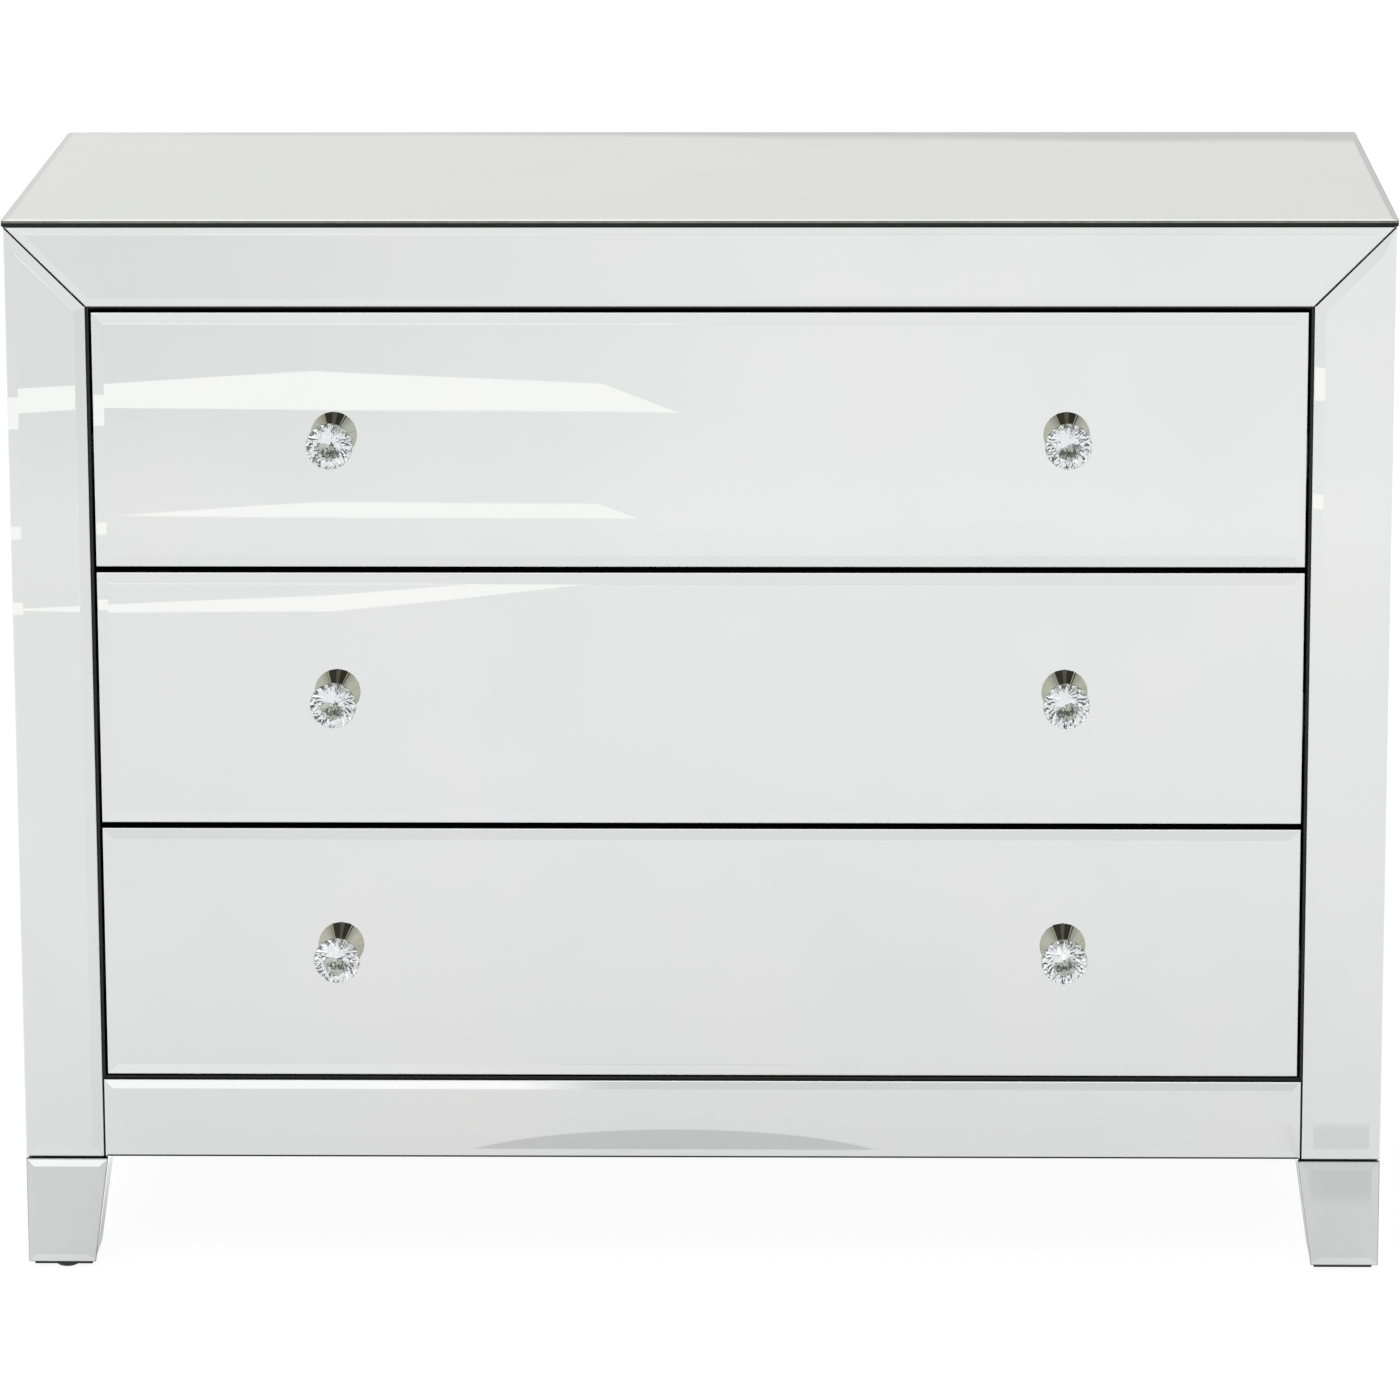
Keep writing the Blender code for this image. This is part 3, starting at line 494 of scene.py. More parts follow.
def drawer_flock(place):
    """Charcoal flock on the drawer bottoms, with its nap brushed in patches."""
    nap = noise(place, 16, 4, 0.65, 0.8)
    fibres = noise(place, 3200)
    base = ramp(nap, (0.3, (0.014, 0.014, 0.015)), (0.7, (0.032, 0.032, 0.034)))
    colour = mixed(fade(fibres, 0.4, 0.7, 0, 0.5), base, (0.050, 0.050, 0.053, 1))
    return colour, fade(nap, 0.3, 0.7, 0.82, 0.95), bump(fibres, 0.0004, 0.8)


def zinc_steel(place, light, roughness):
    """Zinc-plated steel: soft spangle and lines drawn along Y by the roll."""
    drawn = noise(stretched(place, (2600, 14, 2600)), 1)
    dull = tuple(level * 0.86 for level in light)
    colour = ramp((cells(place, 170) + drawn) * 0.5, (0.3, dull), (0.8, light))
    return colour, fade(drawn, 0.3, 0.7, roughness - 0.06, roughness + 0.08), bump(drawn, 0.00002, 0.4)


def knob_chrome(place):
    """Plated and polished metal of the knob cups, with the finest trace of turning."""
    cloud = noise(place, 60, 3)
    colour = ramp(cloud, (0.3, (0.525, 0.533, 0.440)), (0.7, (0.570, 0.577, 0.480)))
    lines = noise(stretched(place, (500, 5200, 500)), 1, 1)
    return colour, fade(cloud, 0.3, 0.7, 0.03, 0.07), bump(lines, 0.000004, 0.25)


def knob_crystal(place):
    """Clear cut crystal, polished, with a trace of wear on its facets."""
    film = noise(place, 220, 3)
    colour = ramp(film, (0.3, (0.965, 0.975, 0.985)), (0.7, (0.995, 0.998, 1.0)))
    return colour, fade(film, 0.55, 0.8, 0, 0.02)


# Silver: its colour where it is clouded, in the middle and where it is clear
SILVER_TONES = ((0.755, 0.768, 0.764), (0.768, 0.775, 0.772), (0.780, 0.779, 0.776))
# The legs' silver is darker, painted shade from the shaded floor they mirror, and a little greener, the tint
# of their glass
LEG_SILVER_PAINTED_SHADE_TONES = ((0.640, 0.662, 0.650), (0.656, 0.674, 0.662), (0.668, 0.682, 0.674))

# The sockets of the shader itself, for what is the same all over
SILVERED = {"Metallic": 1.0, "Specular_IOR_Level": 0.5}
PLATED = {"Metallic": 1.0}
GROUND = {"Specular_IOR_Level": 0.6}
DULL = {"Specular_IOR_Level": 0.4}
CLEAR = {"Transmission_Weight": 1.0, "IOR": 1.56, "Specular_IOR_Level": 0.5}
NAPPED = {
    "Specular_IOR_Level": 0.15,
    "Sheen_Weight": 0.6,
    "Sheen_Roughness": 0.45,
    "Sheen_Tint": (0.55, 0.56, 0.60, 1),
}

# Every finish of the chest: what works out its surface, the values for that, and the shader's sockets
FINISHES = {
    "mirror_silver": (silver_surface, (SILVER_TONES,), SILVERED),
    # The left stile's inner bevel darkens towards the top: painted shade
    "left_stile_bevel_painted_shade": (silver_surface, (SILVER_TONES, ("Z", 0.45, 0.74, 0.965, 0.85)), SILVERED),
    # The drawers' lower bevels are lighter, the bottom one most on the left: painted light
    "middle_drawer_bevel_painted_light": (silver_surface, (SILVER_TONES, ("X", -0.46, 0.46, 1.075, 1.07)), SILVERED),
    "bottom_drawer_bevel_painted_light": (silver_surface, (SILVER_TONES, ("X", -0.30, 0.10, 1.095, 1.015)), SILVERED),
    # The legs' silver is a darker copy of the mirror silver: painted shade
    "leg_silver_painted_shade": (silver_surface, (LEG_SILVER_PAINTED_SHADE_TONES,), SILVERED),
    "glass_edge": (glass_edge, (), {"Specular_IOR_Level": 0.2}),
    "glass_arris": (ground_glass, ((0.90, 0.92, 0.92), (0.98, 0.99, 0.99)), GROUND),
    # The legs' arris is a darker copy of the glass arris: painted shade
    "leg_arris_painted_shade": (ground_glass, ((0.40, 0.42, 0.41), (0.50, 0.52, 0.51)), GROUND),
    # The top sheet's frosted band is a darker copy of the glass arris: painted shade
    "top_edge_seam_painted_shade": (ground_glass, ((0.11, 0.12, 0.11), (0.20, 0.21, 0.20)), GROUND),
    "mirror_backing": (mirror_backing, (), DULL),
    "black_lacquer": (black_paint, (), {"Specular_IOR_Level": 0.45}),
    "dark_hardboard": (back_board, (), {"Specular_IOR_Level": 0.3}),
    "black_ash_foil": (drawer_foil, (), DULL),
    "charcoal_flock": (drawer_flock, (), NAPPED),
    "runner_zinc": (zinc_steel, ((0.60, 0.61, 0.62), 0.30), PLATED),
    "screw_zinc": (zinc_steel, ((0.66, 0.66, 0.65), 0.24), PLATED),
    "ball_steel": (zinc_steel, ((0.72, 0.72, 0.73), 0.12), PLATED),
    "knob_chrome": (knob_chrome, (), PLATED),
    "knob_crystal": (knob_crystal, (), CLEAR),
    "pad_rubber": (black_plastic, (0.60,), DULL),
    "glide_nylon": (black_plastic, (0.36,), DULL),
}
# A sheet's silver, edge, arris, backing and frosted band, which is a darker copy of the arris: painted shade
SHEET_FINISHES = ("mirror_silver", "glass_edge", "glass_arris", "mirror_backing", "top_edge_seam_painted_shade")
LEG_FINISHES = ("leg_silver_painted_shade", "glass_edge", "leg_arris_painted_shade", "mirror_backing", "top_edge_seam_painted_shade")
# Mirrors whose bevel on one side has a silver with painted light or shade
PAINTED_LIGHT_BEVELS = {
    "left_stile_mirror": (INNER_SIDE, "left_stile_bevel_painted_shade"),
    "middle_drawer_front_mirror": (LOWER_SIDE, "middle_drawer_bevel_painted_light"),
    "bottom_drawer_front_mirror": (LOWER_SIDE, "bottom_drawer_bevel_painted_light"),
}


@cache
def material_for(name):
    """The material of a finish. Its surface gives a colour, a roughness and perhaps a bump at each place."""
    surface, values, sockets = FINISHES[name]
    material = bpy.data.materials.new(name)
    material.use_nodes = True
    shader = material.node_tree.nodes["Principled BSDF"]
    for socket, value in sockets.items():
        feed(shader.inputs[socket.replace("_", " ")], value)
    place = flow(material.node_tree, "ShaderNodeTexCoord", "Object")
    for socket, value in zip(("Base Color", "Roughness", "Normal"), surface(place, *values)):
        feed(shader.inputs[socket], value)
    return material


def new_object(name, shape):
    """A new object whose mesh is a shape. The shape is used up."""
    mesh = bpy.data.meshes.new(name)
    shape.to_mesh(mesh)
    shape.free()
    made = bpy.data.objects.new(name, mesh)
    bpy.context.scene.collection.objects.link(made)
    return made


def add_piece(name, shape, finishes, body, replaced=(), place=None, smooth=False):
    """Makes a piece of the chest from a shape, moves it to its place, and lets it ride on its body."""
    if place is not None:
        shape.transform(place)
    piece = new_object(name, shape)
    if smooth:
        piece.data.shade_smooth()
        piece.data.set_sharp_from_angle(angle=SHARP_ANGLE)
    for finish in finishes:
        piece.data.materials.append(material_for(finish))
    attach(piece, body)
    if replaced:
        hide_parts(*replaced)
    return piece


def bevel_edges(piece, name, width, segments, angle):
    bevel = piece.modifiers.new(name, "BEVEL")
    bevel.width = width
    bevel.segments = segments
    bevel.limit_method = "ANGLE"
    bevel.angle_limit = angle


def keep_node(name, finish, rounding=None):
    """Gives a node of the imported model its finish, and softens its arrises."""
    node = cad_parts[name]
    for material_slot in node.material_slots:
        material_slot.material = material_for(finish)
    if rounding:
        weld = node.modifiers.new("joined_corners", "WELD")
        weld.merge_threshold = WELD_DISTANCE
        bevel_edges(node, "soft_arrises", rounding, 2, SHARP_ANGLE)


def inset_outline(outline, distance):
    """A convex outline, anticlockwise, with every side moved inwards by a distance."""
    sides = []
    for start, end in zip(outline, outline[1:] + outline[:1]):
        along = (end - start).normalized()
        sides.append((start + Vector((-along.y, along.x)) * distance, along))
    corners = []
    for (before, before_along), (after, after_along) in zip(sides[-1:] + sides[:-1], sides):
        run = (after - before).cross(after_along) / before_along.cross(after_along)
        corners.append(before + before_along * run)
    return corners


def rounded_corner(corner, before, after, radius):
    """Points of an arc that rounds one corner of an outline, or as many on the corner without a radius."""
    if radius <= 0:
        return [corner] * (CORNER_STEPS + 1)
    back = (before - corner).normalized()
    onward = (after - corner).normalized()
    half_angle = back.angle(onward) / 2
    centre = corner + (back + onward).normalized() * (radius / math.sin(half_angle))
    start = corner + back * (radius / math.tan(half_angle)) - centre
    sweep = math.pi - 2 * half_angle
    turns = [sweep * step / CORNER_STEPS for step in range(CORNER_STEPS + 1)]
    return [centre + Matrix.Rotation(turn, 2) @ start for turn in turns]


def join_loops(shape, lower, upper):
    """Faces between two loops of as many points, one for each side."""
    faces = []
    for start in range(len(lower)):
        end = (start + 1) % len(lower)
        faces.append(shape.faces.new((lower[start], lower[end], upper[end], upper[start])))
    return faces


def make_sheet(
    name,
    corners,
    body="case",
    replaced=(),
    finishes=SHEET_FINISHES,
    grinding=PANE_GRINDING,
    dark_side=None,
    stain_width=0,
    toned=(None,),
):
    """A bevelled mirror whose face lies in the plane of its corners, given anticlockwise from in front.

    A side runs from one corner to the next. The painted shade side's arris, and any silver band inside it,
    take the near-black edge finish as painted shade. Toned names a side and its bevel's silver with painted
    light or shade.
    """
    silver, edge, arris, backing, frosted, painted_light_silver = range(6)
    painted_light_side, *painted_light_finishes = toned
    corners = [Vector(corner) for corner in corners]
    across = (corners[1] - corners[0]).normalized()
    outward = across.cross(corners[-1] - corners[0]).normalized()
    up = outward.cross(across)
    spans = [corner - corners[0] for corner in corners]
    outline = [Vector((span.dot(across), span.dot(up))) for span in spans]

    def on_bevel(inset):
        return inset, grinding.bevel_depth * (1 - inset / grinding.bevel_width), silver

    bevel_start = grinding.bevel_depth + grinding.arris_drop
    bevel_end = grinding.bevel_width - POLISH_WIDTH / 2
    painted_shadow_end = grinding.arris_width + stain_width
    rings = [
        (0, GLASS_THICKNESS, edge),
        (0, bevel_start, arris),
        on_bevel(grinding.arris_width),
        on_bevel(bevel_end),
        (grinding.bevel_width + POLISH_WIDTH / 2, 0, silver),
    ]
    if stain_width:
        rings.insert(-2, on_bevel(painted_shadow_end))
    if grinding.frosted_band:
        rings[1:2] = [(0, bevel_start + grinding.frosted_band, frosted), (0, bevel_start, frosted)]
    shape = bmesh.new()
    levels = []
    for inset, depth, band in rings:
        points = inset_outline(outline, inset)
        if grinding.corner_radius:
            radius = grinding.corner_radius - inset
            neighbours = zip(points, points[-1:] + points[:-1], points[1:] + points[:1])
            points = [point for trio in neighbours for point in rounded_corner(*trio, radius)]
        places = [corners[0] + across * point.x + up * point.y - outward * depth for point in points]
        levels.append([shape.verts.new(place) for place in places])
    for lower, upper, (inset, depth, band) in zip(levels, levels[1:], rings):
        for side, face in enumerate(join_loops(shape, lower, upper)):
            face.material_index = band
            # Painted shade: the arris on the painted shade side, and the silver band inside it, take the
            # near-black edge finish
            if side == dark_side and inset < painted_shadow_end and band in (arris, silver):
                face.material_index = edge
            # Painted light or shade: the bevel on the toned side takes its own silver
            elif side == painted_light_side and inset < bevel_end and band == silver:
                face.material_index = painted_light_silver
    shape.faces.new(levels[0][::-1]).material_index = backing
    shape.faces.new(levels[-1]).material_index = silver
    bmesh.ops.remove_doubles(shape, verts=shape.verts, dist=SAME_PLACE)
    return add_piece(name, shape, (*finishes, *painted_light_finishes), body, replaced)


def box_side(node, side):
    """The corners of one side of a node's box, anticlockwise from in front."""
    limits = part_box(node)
    return [[limits[limit][axis] for axis, limit in enumerate(corner)] for corner in BOX_SIDES[side]]


def cut_away(piece, shape):
    """Takes a shape out of a piece for good."""
    cutter = new_object("cutter", shape)
    modifier = piece.modifiers.new("cut", "BOOLEAN")
    modifier.operation = "DIFFERENCE"
    modifier.solver = "EXACT"
    modifier.object = cutter
    bpy.context.view_layer.update()
    whole = piece.data
    evaluated = piece.evaluated_get(bpy.context.evaluated_depsgraph_get())
    piece.data = bpy.data.meshes.new_from_object(evaluated)
    piece.data.name = whole.name
    piece.modifiers.clear()
    bpy.data.meshes.remove(whole)
    bpy.data.meshes.remove(cutter.data)


def turned(profile, steps, closed=False):
    """A profile of radii and heights turned about Z. Unless it is closed, its ends lie on that axis."""
    shape = bmesh.new()
    points = [shape.verts.new((radius, 0, height)) for radius, height in profile]
    following = points[1:] + points[:1] if closed else points[1:]
    edges = [shape.edges.new(pair) for pair in zip(points, following)]
    bmesh.ops.spin(
        shape,
        geom=points + edges,
        cent=(0, 0, 0),
        axis=(0, 0, 1),
        angle=math.tau,
        steps=steps,
        use_merge=True,
    )
    bmesh.ops.remove_doubles(shape, verts=shape.verts, dist=SAME_PLACE)
    bmesh.ops.recalc_face_normals(shape, faces=shape.faces)
    return shape


def arc(centre, radius, first, last, steps):
    """Points of an arc in radius and height, from one angle in degrees to another."""
    angles = [math.radians(first + (last - first) * step / steps) for step in range(steps + 1)]
    return [(centre[0] + radius * math.cos(angle), centre[1] + radius * math.sin(angle)) for angle in angles]


def lofted(rings):
    """A closed shape through rings of as many points each."""
    shape = bmesh.new()
    levels = [[shape.verts.new(point) for point in ring] for ring in rings]
    for lower, upper in zip(levels, levels[1:]):
        join_loops(shape, lower, upper)
    shape.faces.new(levels[0][::-1])
    shape.faces.new(levels[-1])
    bmesh.ops.recalc_face_normals(shape, faces=shape.faces)
    return shape


def joined(shape, matrices):
    """Copies of a shape, one for each matrix, in one shape. The first shape is used up."""
    mesh = bpy.data.meshes.new("copied")
    shape.to_mesh(mesh)
    shape.free()
    together = bmesh.new()
    for matrix in matrices:
        copy = mesh.copy()
        copy.transform(matrix)
        together.from_mesh(copy)
        bpy.data.meshes.remove(copy)
    bpy.data.meshes.remove(mesh)
    return together


def make_mirrors():
    """All mirrors but the legs'."""

    def cover(node, side="front", corners=None, body="case", **options):
        corners = corners or box_side(node, side)
        # A bevel with painted light or shade, if this mirror has one
        toned = PAINTED_LIGHT_BEVELS.get(node, (None,))
        return make_sheet(f"{node}_glass", corners, body, (node,), toned=toned, **options)

    cover("top_mirror", "up", grinding=TOP_GRINDING)
    # Its lower arris and a band of silver inside it are drawn near-black: a painted shadow line
    cover(
        "bottom_rail_mirror",
        grinding=BOTTOM_RAIL_GRINDING,
        dark_side=LOWER_SIDE,
        stain_width=RAIL_PAINTED_SHADOW_WIDTH,
    )

    # The stiles and the top rail meet along mitres that run to the outer top corners
    rail_low, rail_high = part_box("top_rail_mirror")
    for label, side in SIDES.items():
        low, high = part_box(f"{label}_stile_mirror")
        inner, outer = (high.x, low.x) if side < 0 else (low.x, high.x)
        stile = [(inner, low.z), (outer, low.z), (outer, high.z), (inner, rail_low.z)]
        # The mitre's arris is drawn near-black: painted shade in the joint
        mitre_side = 0 if side < 0 else 2
        if side < 0:
            stile.reverse()
        cover(f"{label}_stile_mirror", corners=[(x, low.y, z) for x, z in stile], dark_side=mitre_side)
        cover(f"{label}_side_mirror", label)
    lower_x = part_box("right_stile_mirror")[0].x - MITRE_GAP
    top_rail = [(-lower_x, rail_low.z), (lower_x, rail_low.z)]
    top_rail += [(rail_high.x, rail_high.z), (rail_low.x, rail_high.z)]
    corners = [(x, rail_low.y, z) for x, z in top_rail]
    # Its upper arris, under the top, is drawn near-black: painted shade
    cover("top_rail_mirror", corners=corners, grinding=TOP_RAIL_GRINDING, dark_side=UPPER_SIDE)
    for drawer in DRAWERS:
        pane = cover(f"{drawer}_front_mirror", body=drawer)
        pin = bmesh.new()
        bmesh.ops.create_cone(
            pin,
            cap_ends=True,
            segments=TURN_STEPS // 3,
            radius1=HOLE_DIAMETER / 2,
            radius2=HOLE_DIAMETER / 2,
            depth=4 * GLASS_THICKNESS,
        )
        places = [Matrix.Translation(knob_foot(drawer, label)) @ FACING_FRONT for label in SIDES]
        cut_away(pane, joined(pin, places))


def leg_bolt():
    """A threaded bolt along Z, with its middle at Z = 0."""
    profile = [(0, -LEG_BOLT_REACH)]
    for turn in range(int(2 * LEG_BOLT_REACH / LEG_BOLT_PITCH)):
        root_z = turn * LEG_BOLT_PITCH - LEG_BOLT_REACH
        profile += [(LEG_BOLT_CORE_RADIUS, root_z), (LEG_BOLT_RADIUS, root_z + LEG_BOLT_PITCH / 2)]
    profile += [(LEG_BOLT_CORE_RADIUS, LEG_BOLT_REACH), (0, LEG_BOLT_REACH)]
    return turned(profile, TURN_STEPS // 4)


def make_leg(node, side, end):
    """A black core with four bevelled facings, a bolt up into the case, a plastic pad and a domed glide."""
    low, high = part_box(node)
    corner_x = high.x if side > 0 else low.x
    corner_y = high.y if end > 0 else low.y
    foot_z = GLIDE_HEIGHT + PAD_THICKNESS
    top_z = foot_z + LEG_HEIGHT
    seat = GLASS_THICKNESS + SEAT_GAP

    def at(inward_x, inward_y, height):
        return Vector((corner_x - side * inward_x, corner_y - end * inward_y, height))

    def ring(first_x, first_y, last, height):
        plan = ((first_x, first_y), (last, first_y), (last, last), (first_x, last))
        return [at(*point, height) for point in plan]

    def facings(width):
        """Where each facing starts and ends in plan, at a height where the leg has this width."""
        return {
            "outer_end": ((0, 0), (width, 0)),
            "inner_end": ((seat, width), (width - seat, width)),
            "outer_side": ((0, seat), (0, width)),
            "inner_side": ((width, seat), (width, width)),
        }

    centre = at(LEG_FOOT_WIDTH / 2, LEG_FOOT_WIDTH / 2, (foot_z + top_z) / 2)
    at_top = facings(LEG_TOP_WIDTH)
    for label, (foot_start, foot_end) in facings(LEG_FOOT_WIDTH).items():
        top_start, top_end = at_top[label]
        corners = [at(*foot_start, foot_z), at(*foot_end, foot_z), at(*top_end, top_z), at(*top_start, top_z)]
        outward = (corners[1] - corners[0]).cross(corners[-1] - corners[0])
        if outward.dot(corners[0] - centre) < 0:
            corners.reverse()
        make_sheet(f"{node}_{label}_facing", corners, finishes=LEG_FINISHES, grinding=LEG_GRINDING)

    core_rings = [
        ring(seat, seat, LEG_FOOT_WIDTH - seat, foot_z),
        ring(seat, seat, LEG_TOP_WIDTH - seat, top_z),
        ring(seat, seat, LEG_TOP_WIDTH - seat, high.z),
    ]
    add_piece(f"{node}_core", lofted(core_rings), ["black_lacquer"], "case", (node,))
    place = Matrix.Translation(at(LEG_TOP_WIDTH / 2, LEG_TOP_WIDTH / 2, high.z))
    add_piece(f"{node}_bolt", leg_bolt(), ["screw_zinc"], "case", place=place)

    def pad_ring(inset, height):
        pad_end = LEG_FOOT_WIDTH - PAD_INNER_INSET - inset
        return ring(PAD_SIDE_INSET + inset, PAD_END_INSET + inset, pad_end, height)

    pad_rings = [
        pad_ring(PAD_ROUNDING, GLIDE_HEIGHT),
        pad_ring(0, GLIDE_HEIGHT + PAD_ROUNDING),
        pad_ring(0, foot_z),
    ]
    add_piece(f"{node}_pad", lofted(pad_rings), ["pad_rubber"], "case")

    flat = GLIDE_FLAT_DIAMETER / 2
    width = GLIDE_DIAMETER / 2 - flat
    dome = [(flat + width * out, GLIDE_HEIGHT * up) for out, up in arc((0, 1), 1, -90, 0, DOME_STEPS)]
    root_z = GLIDE_HEIGHT + PAD_THICKNESS / 2
    shape = turned([(0, 0), *dome, (GLIDE_DIAMETER / 2, root_z), (0, root_z)], TURN_STEPS // 2)
    place = Matrix.Translation(at(*OFF_CENTRE_GLIDES.get(node, GLIDE_PLACE), 0))
    add_piece(f"{node}_glide", shape, ["glide_nylon"], "case", place=place, smooth=True)


def knob_foot(drawer, label):
    """The middle of a knob's foot, where it stands on the glass."""
    low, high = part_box(f"{drawer}_{label}_knob_cup")
    return Vector(((low.x + high.x) / 2, high.y, (low.z + high.z) / 2))


def girdle_height():
    """How far a crystal's girdle stands from the foot of its cup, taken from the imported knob."""
    foot_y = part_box("top_drawer_left_knob_cup")[1].y
    table_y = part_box("top_drawer_left_knob_crystal")[0].y
    return foot_y - table_y - CROWN_HEIGHT - GIRDLE_THICKNESS


def knob_cup():
    """The turned cup: its foot is at Z = 0 with a screw socket, and its cone opens towards +Z."""
    radius = CRYSTAL_DIAMETER / 2
    girdle = girdle_height()
    lower_radius = radius * LOWER_SHARE
    lower_drop = PAVILION_DEPTH * (1 - LOWER_SHARE * math.cos(math.pi / CRYSTAL_FOLDS))
    slope = (radius - lower_radius) / lower_drop
    mouth = radius - slope * CRYSTAL_ABOVE_RIM + CUP_CLEARANCE
    rim = girdle - CRYSTAL_ABOVE_RIM
    lip = LIP_WIDTH / 2
    round_foot = FLANGE_HEIGHT / 3
    profile = [
        (0, SOCKET_DEPTH),
        (SOCKET_RADIUS, SOCKET_DEPTH),
        (SOCKET_RADIUS, 0),
        (FLANGE_RADIUS - round_foot, 0),
        *arc((FLANGE_RADIUS - round_foot, round_foot), round_foot, -60, 0, 3),
        *arc((FLANGE_RADIUS - round_foot, FLANGE_HEIGHT - round_foot), round_foot, 15, 90, 4),
        (NECK_RADIUS + round_foot, FLANGE_HEIGHT),
        *arc((NECK_RADIUS + round_foot, FLANGE_HEIGHT + round_foot), round_foot, -110, -180, 3),
        (NECK_RADIUS, NECK_TOP),
        (mouth + LIP_WIDTH, rim - lip),
        *arc((mouth + lip, rim - lip), lip, 20, 160, 6),
        (mouth, rim - lip),
        (lower_radius + CUP_CLEARANCE, girdle - lower_drop),
        (0, girdle - PAVILION_DEPTH - CUP_CLEARANCE),
    ]
    return turned(profile, TURN_STEPS)


def brilliant():
    """The cut crystal: its table is towards +Z, and the lower edge of its notched girdle at Z = 0."""
    radius = CRYSTAL_DIAMETER / 2
    half_fold = math.pi / CRYSTAL_FOLDS
    star_rise = (radius - radius * STAR_SHARE * math.cos(half_fold)) / (radius - radius * TABLE_SHARE)
    lower_fall = 1 - LOWER_SHARE * math.cos(half_fold)
    shape = bmesh.new()

    def ring(count, ring_radius, first_angle, height):
        angles = [first_angle + math.tau * step / count for step in range(count)]
        points = [(ring_radius * math.cos(angle), ring_radius * math.sin(angle), height) for angle in angles]
        return [shape.verts.new(point) for point in points]

    double = 2 * CRYSTAL_FOLDS
    notch_radius = radius - GIRDLE_NOTCH
    table = ring(CRYSTAL_FOLDS, radius * TABLE_SHARE, 0, GIRDLE_THICKNESS + CROWN_HEIGHT)
    star = ring(CRYSTAL_FOLDS, radius * STAR_SHARE, half_fold, GIRDLE_THICKNESS + CROWN_HEIGHT * star_rise)
    upper = ring(double, radius, 0, GIRDLE_THICKNESS)
    upper_notch = ring(double, notch_radius, half_fold / 2, GIRDLE_THICKNESS)
    lower = ring(double, radius, 0, 0)
    lower_notch = ring(double, notch_radius, half_fold / 2, 0)
    deep = ring(CRYSTAL_FOLDS, radius * LOWER_SHARE, half_fold, -PAVILION_DEPTH * lower_fall)
    culet = shape.verts.new((0, 0, -PAVILION_DEPTH))

    facets = [table]
    for fold in range(CRYSTAL_FOLDS):
        following = (fold + 1) % CRYSTAL_FOLDS
        corner = 2 * fold
        facets.append((table[fold], star[fold], table[following]))
        facets.append((table[fold], star[fold - 1], upper[corner], star[fold]))
        for start in (corner, corner + 1):
            end = (start + 1) % double
            facets += [
                (star[fold], upper[start], upper_notch[start]),
                (star[fold], upper_notch[start], upper[end]),
                (upper[start], lower[start], lower_notch[start], upper_notch[start]),
                (upper_notch[start], lower_notch[start], lower[end], upper[end]),
                (deep[fold], lower_notch[start], lower[start]),
                (deep[fold], lower[end], lower_notch[start]),
            ]
        facets.append((culet, deep[fold], lower[corner], deep[fold - 1]))
    for facet in facets:
        shape.faces.new(facet)
    bmesh.ops.recalc_face_normals(shape, faces=shape.faces)
    return shape


def screw(head_radius, head_height, shank_radius, length):
    """A pan-head screw with its head's seat at Z = 0, its head towards +Z, and a cross recess."""
    crown = head_height * HEAD_CROWN_SHARE
    dome = arc((0, 0), 1, HEAD_DOME_START, 90, HEAD_DOME_STEPS)[:-1]
    profile = [
        (0, -length),
        (shank_radius * SHANK_TIP_SHARE, -length),
        (shank_radius, -length * SHANK_TAPER_SHARE),
        (shank_radius, 0),
        (head_radius * HEAD_SEAT_SHARE, 0),
        (head_radius, head_height * HEAD_EDGE_SHARE),
        *((head_radius * across, head_height - crown + crown * up) for across, up in dome),
        (0, head_height),
    ]
    body = new_object("screw", turned(profile, SCREW_STEPS))
    long = head_radius * RECESS_LENGTH_SHARE
    short = head_radius * RECESS_WIDTH_SHARE
    for across, along in ((long, short), (short, long)):
        bar = bmesh.new()
        bmesh.ops.create_cube(bar, size=1)
        bmesh.ops.scale(bar, vec=(across, along, head_height), verts=bar.verts)
        bmesh.ops.translate(bar, vec=(0, 0, head_height), verts=bar.verts)
        cut_away(body, bar)
    shape = bmesh.new()
    shape.from_mesh(body.data)
    bpy.data.meshes.remove(body.data)
    return shape


def washer():
    """A flat washer on the plane Z = 0."""
    bore = KNOB_SCREW.shank_radius + WASHER_CLEARANCE
    edge = WASHER_THICKNESS / 4
    section = [
        (bore, 0),
        (WASHER_RADIUS, 0),
        (WASHER_RADIUS, WASHER_THICKNESS - edge),
        (WASHER_RADIUS - edge, WASHER_THICKNESS),
        (bore, WASHER_THICKNESS),
    ]
    return turned(section, TURN_STEPS // 2, closed=True)


def make_knobs(drawer):
    """Both knobs of a drawer, each with a screw and washer that come from inside through the front board."""
    board_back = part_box(f"{drawer}_front_board")[1].y
    for label in SIDES:
        name = f"{drawer}_{label}_knob"
        foot = knob_foot(drawer, label)

        def add(kind, shape, finish, place_y, facing, replaced=(), smooth=True):
            place = Matrix.Translation((foot.x, place_y, foot.z)) @ facing
            return add_piece(f"{name}_{kind}", shape, [finish], drawer, replaced, place, smooth)

        add("turned_cup", knob_cup(), "knob_chrome", foot.y, FACING_FRONT, (f"{name}_cup",))
        girdle_y = foot.y - girdle_height()
        stone = add(
            "cut_crystal",
            brilliant(),
            "knob_crystal",
            girdle_y,
            FACING_FRONT,
            (f"{name}_crystal",),
            smooth=False,
        )
        bevel_edges(stone, "facet_edges", FACET_ROUNDING, 1, FACET_ANGLE)

        head_y = board_back + WASHER_THICKNESS
        fixing = screw(*KNOB_SCREW, head_y - foot.y + SOCKET_DEPTH * SOCKET_SHARE)
        add("washer", washer(), "screw_zinc", board_back, FACING_BACK)
        add("screw", fixing, "screw_zinc", head_y, FACING_BACK)


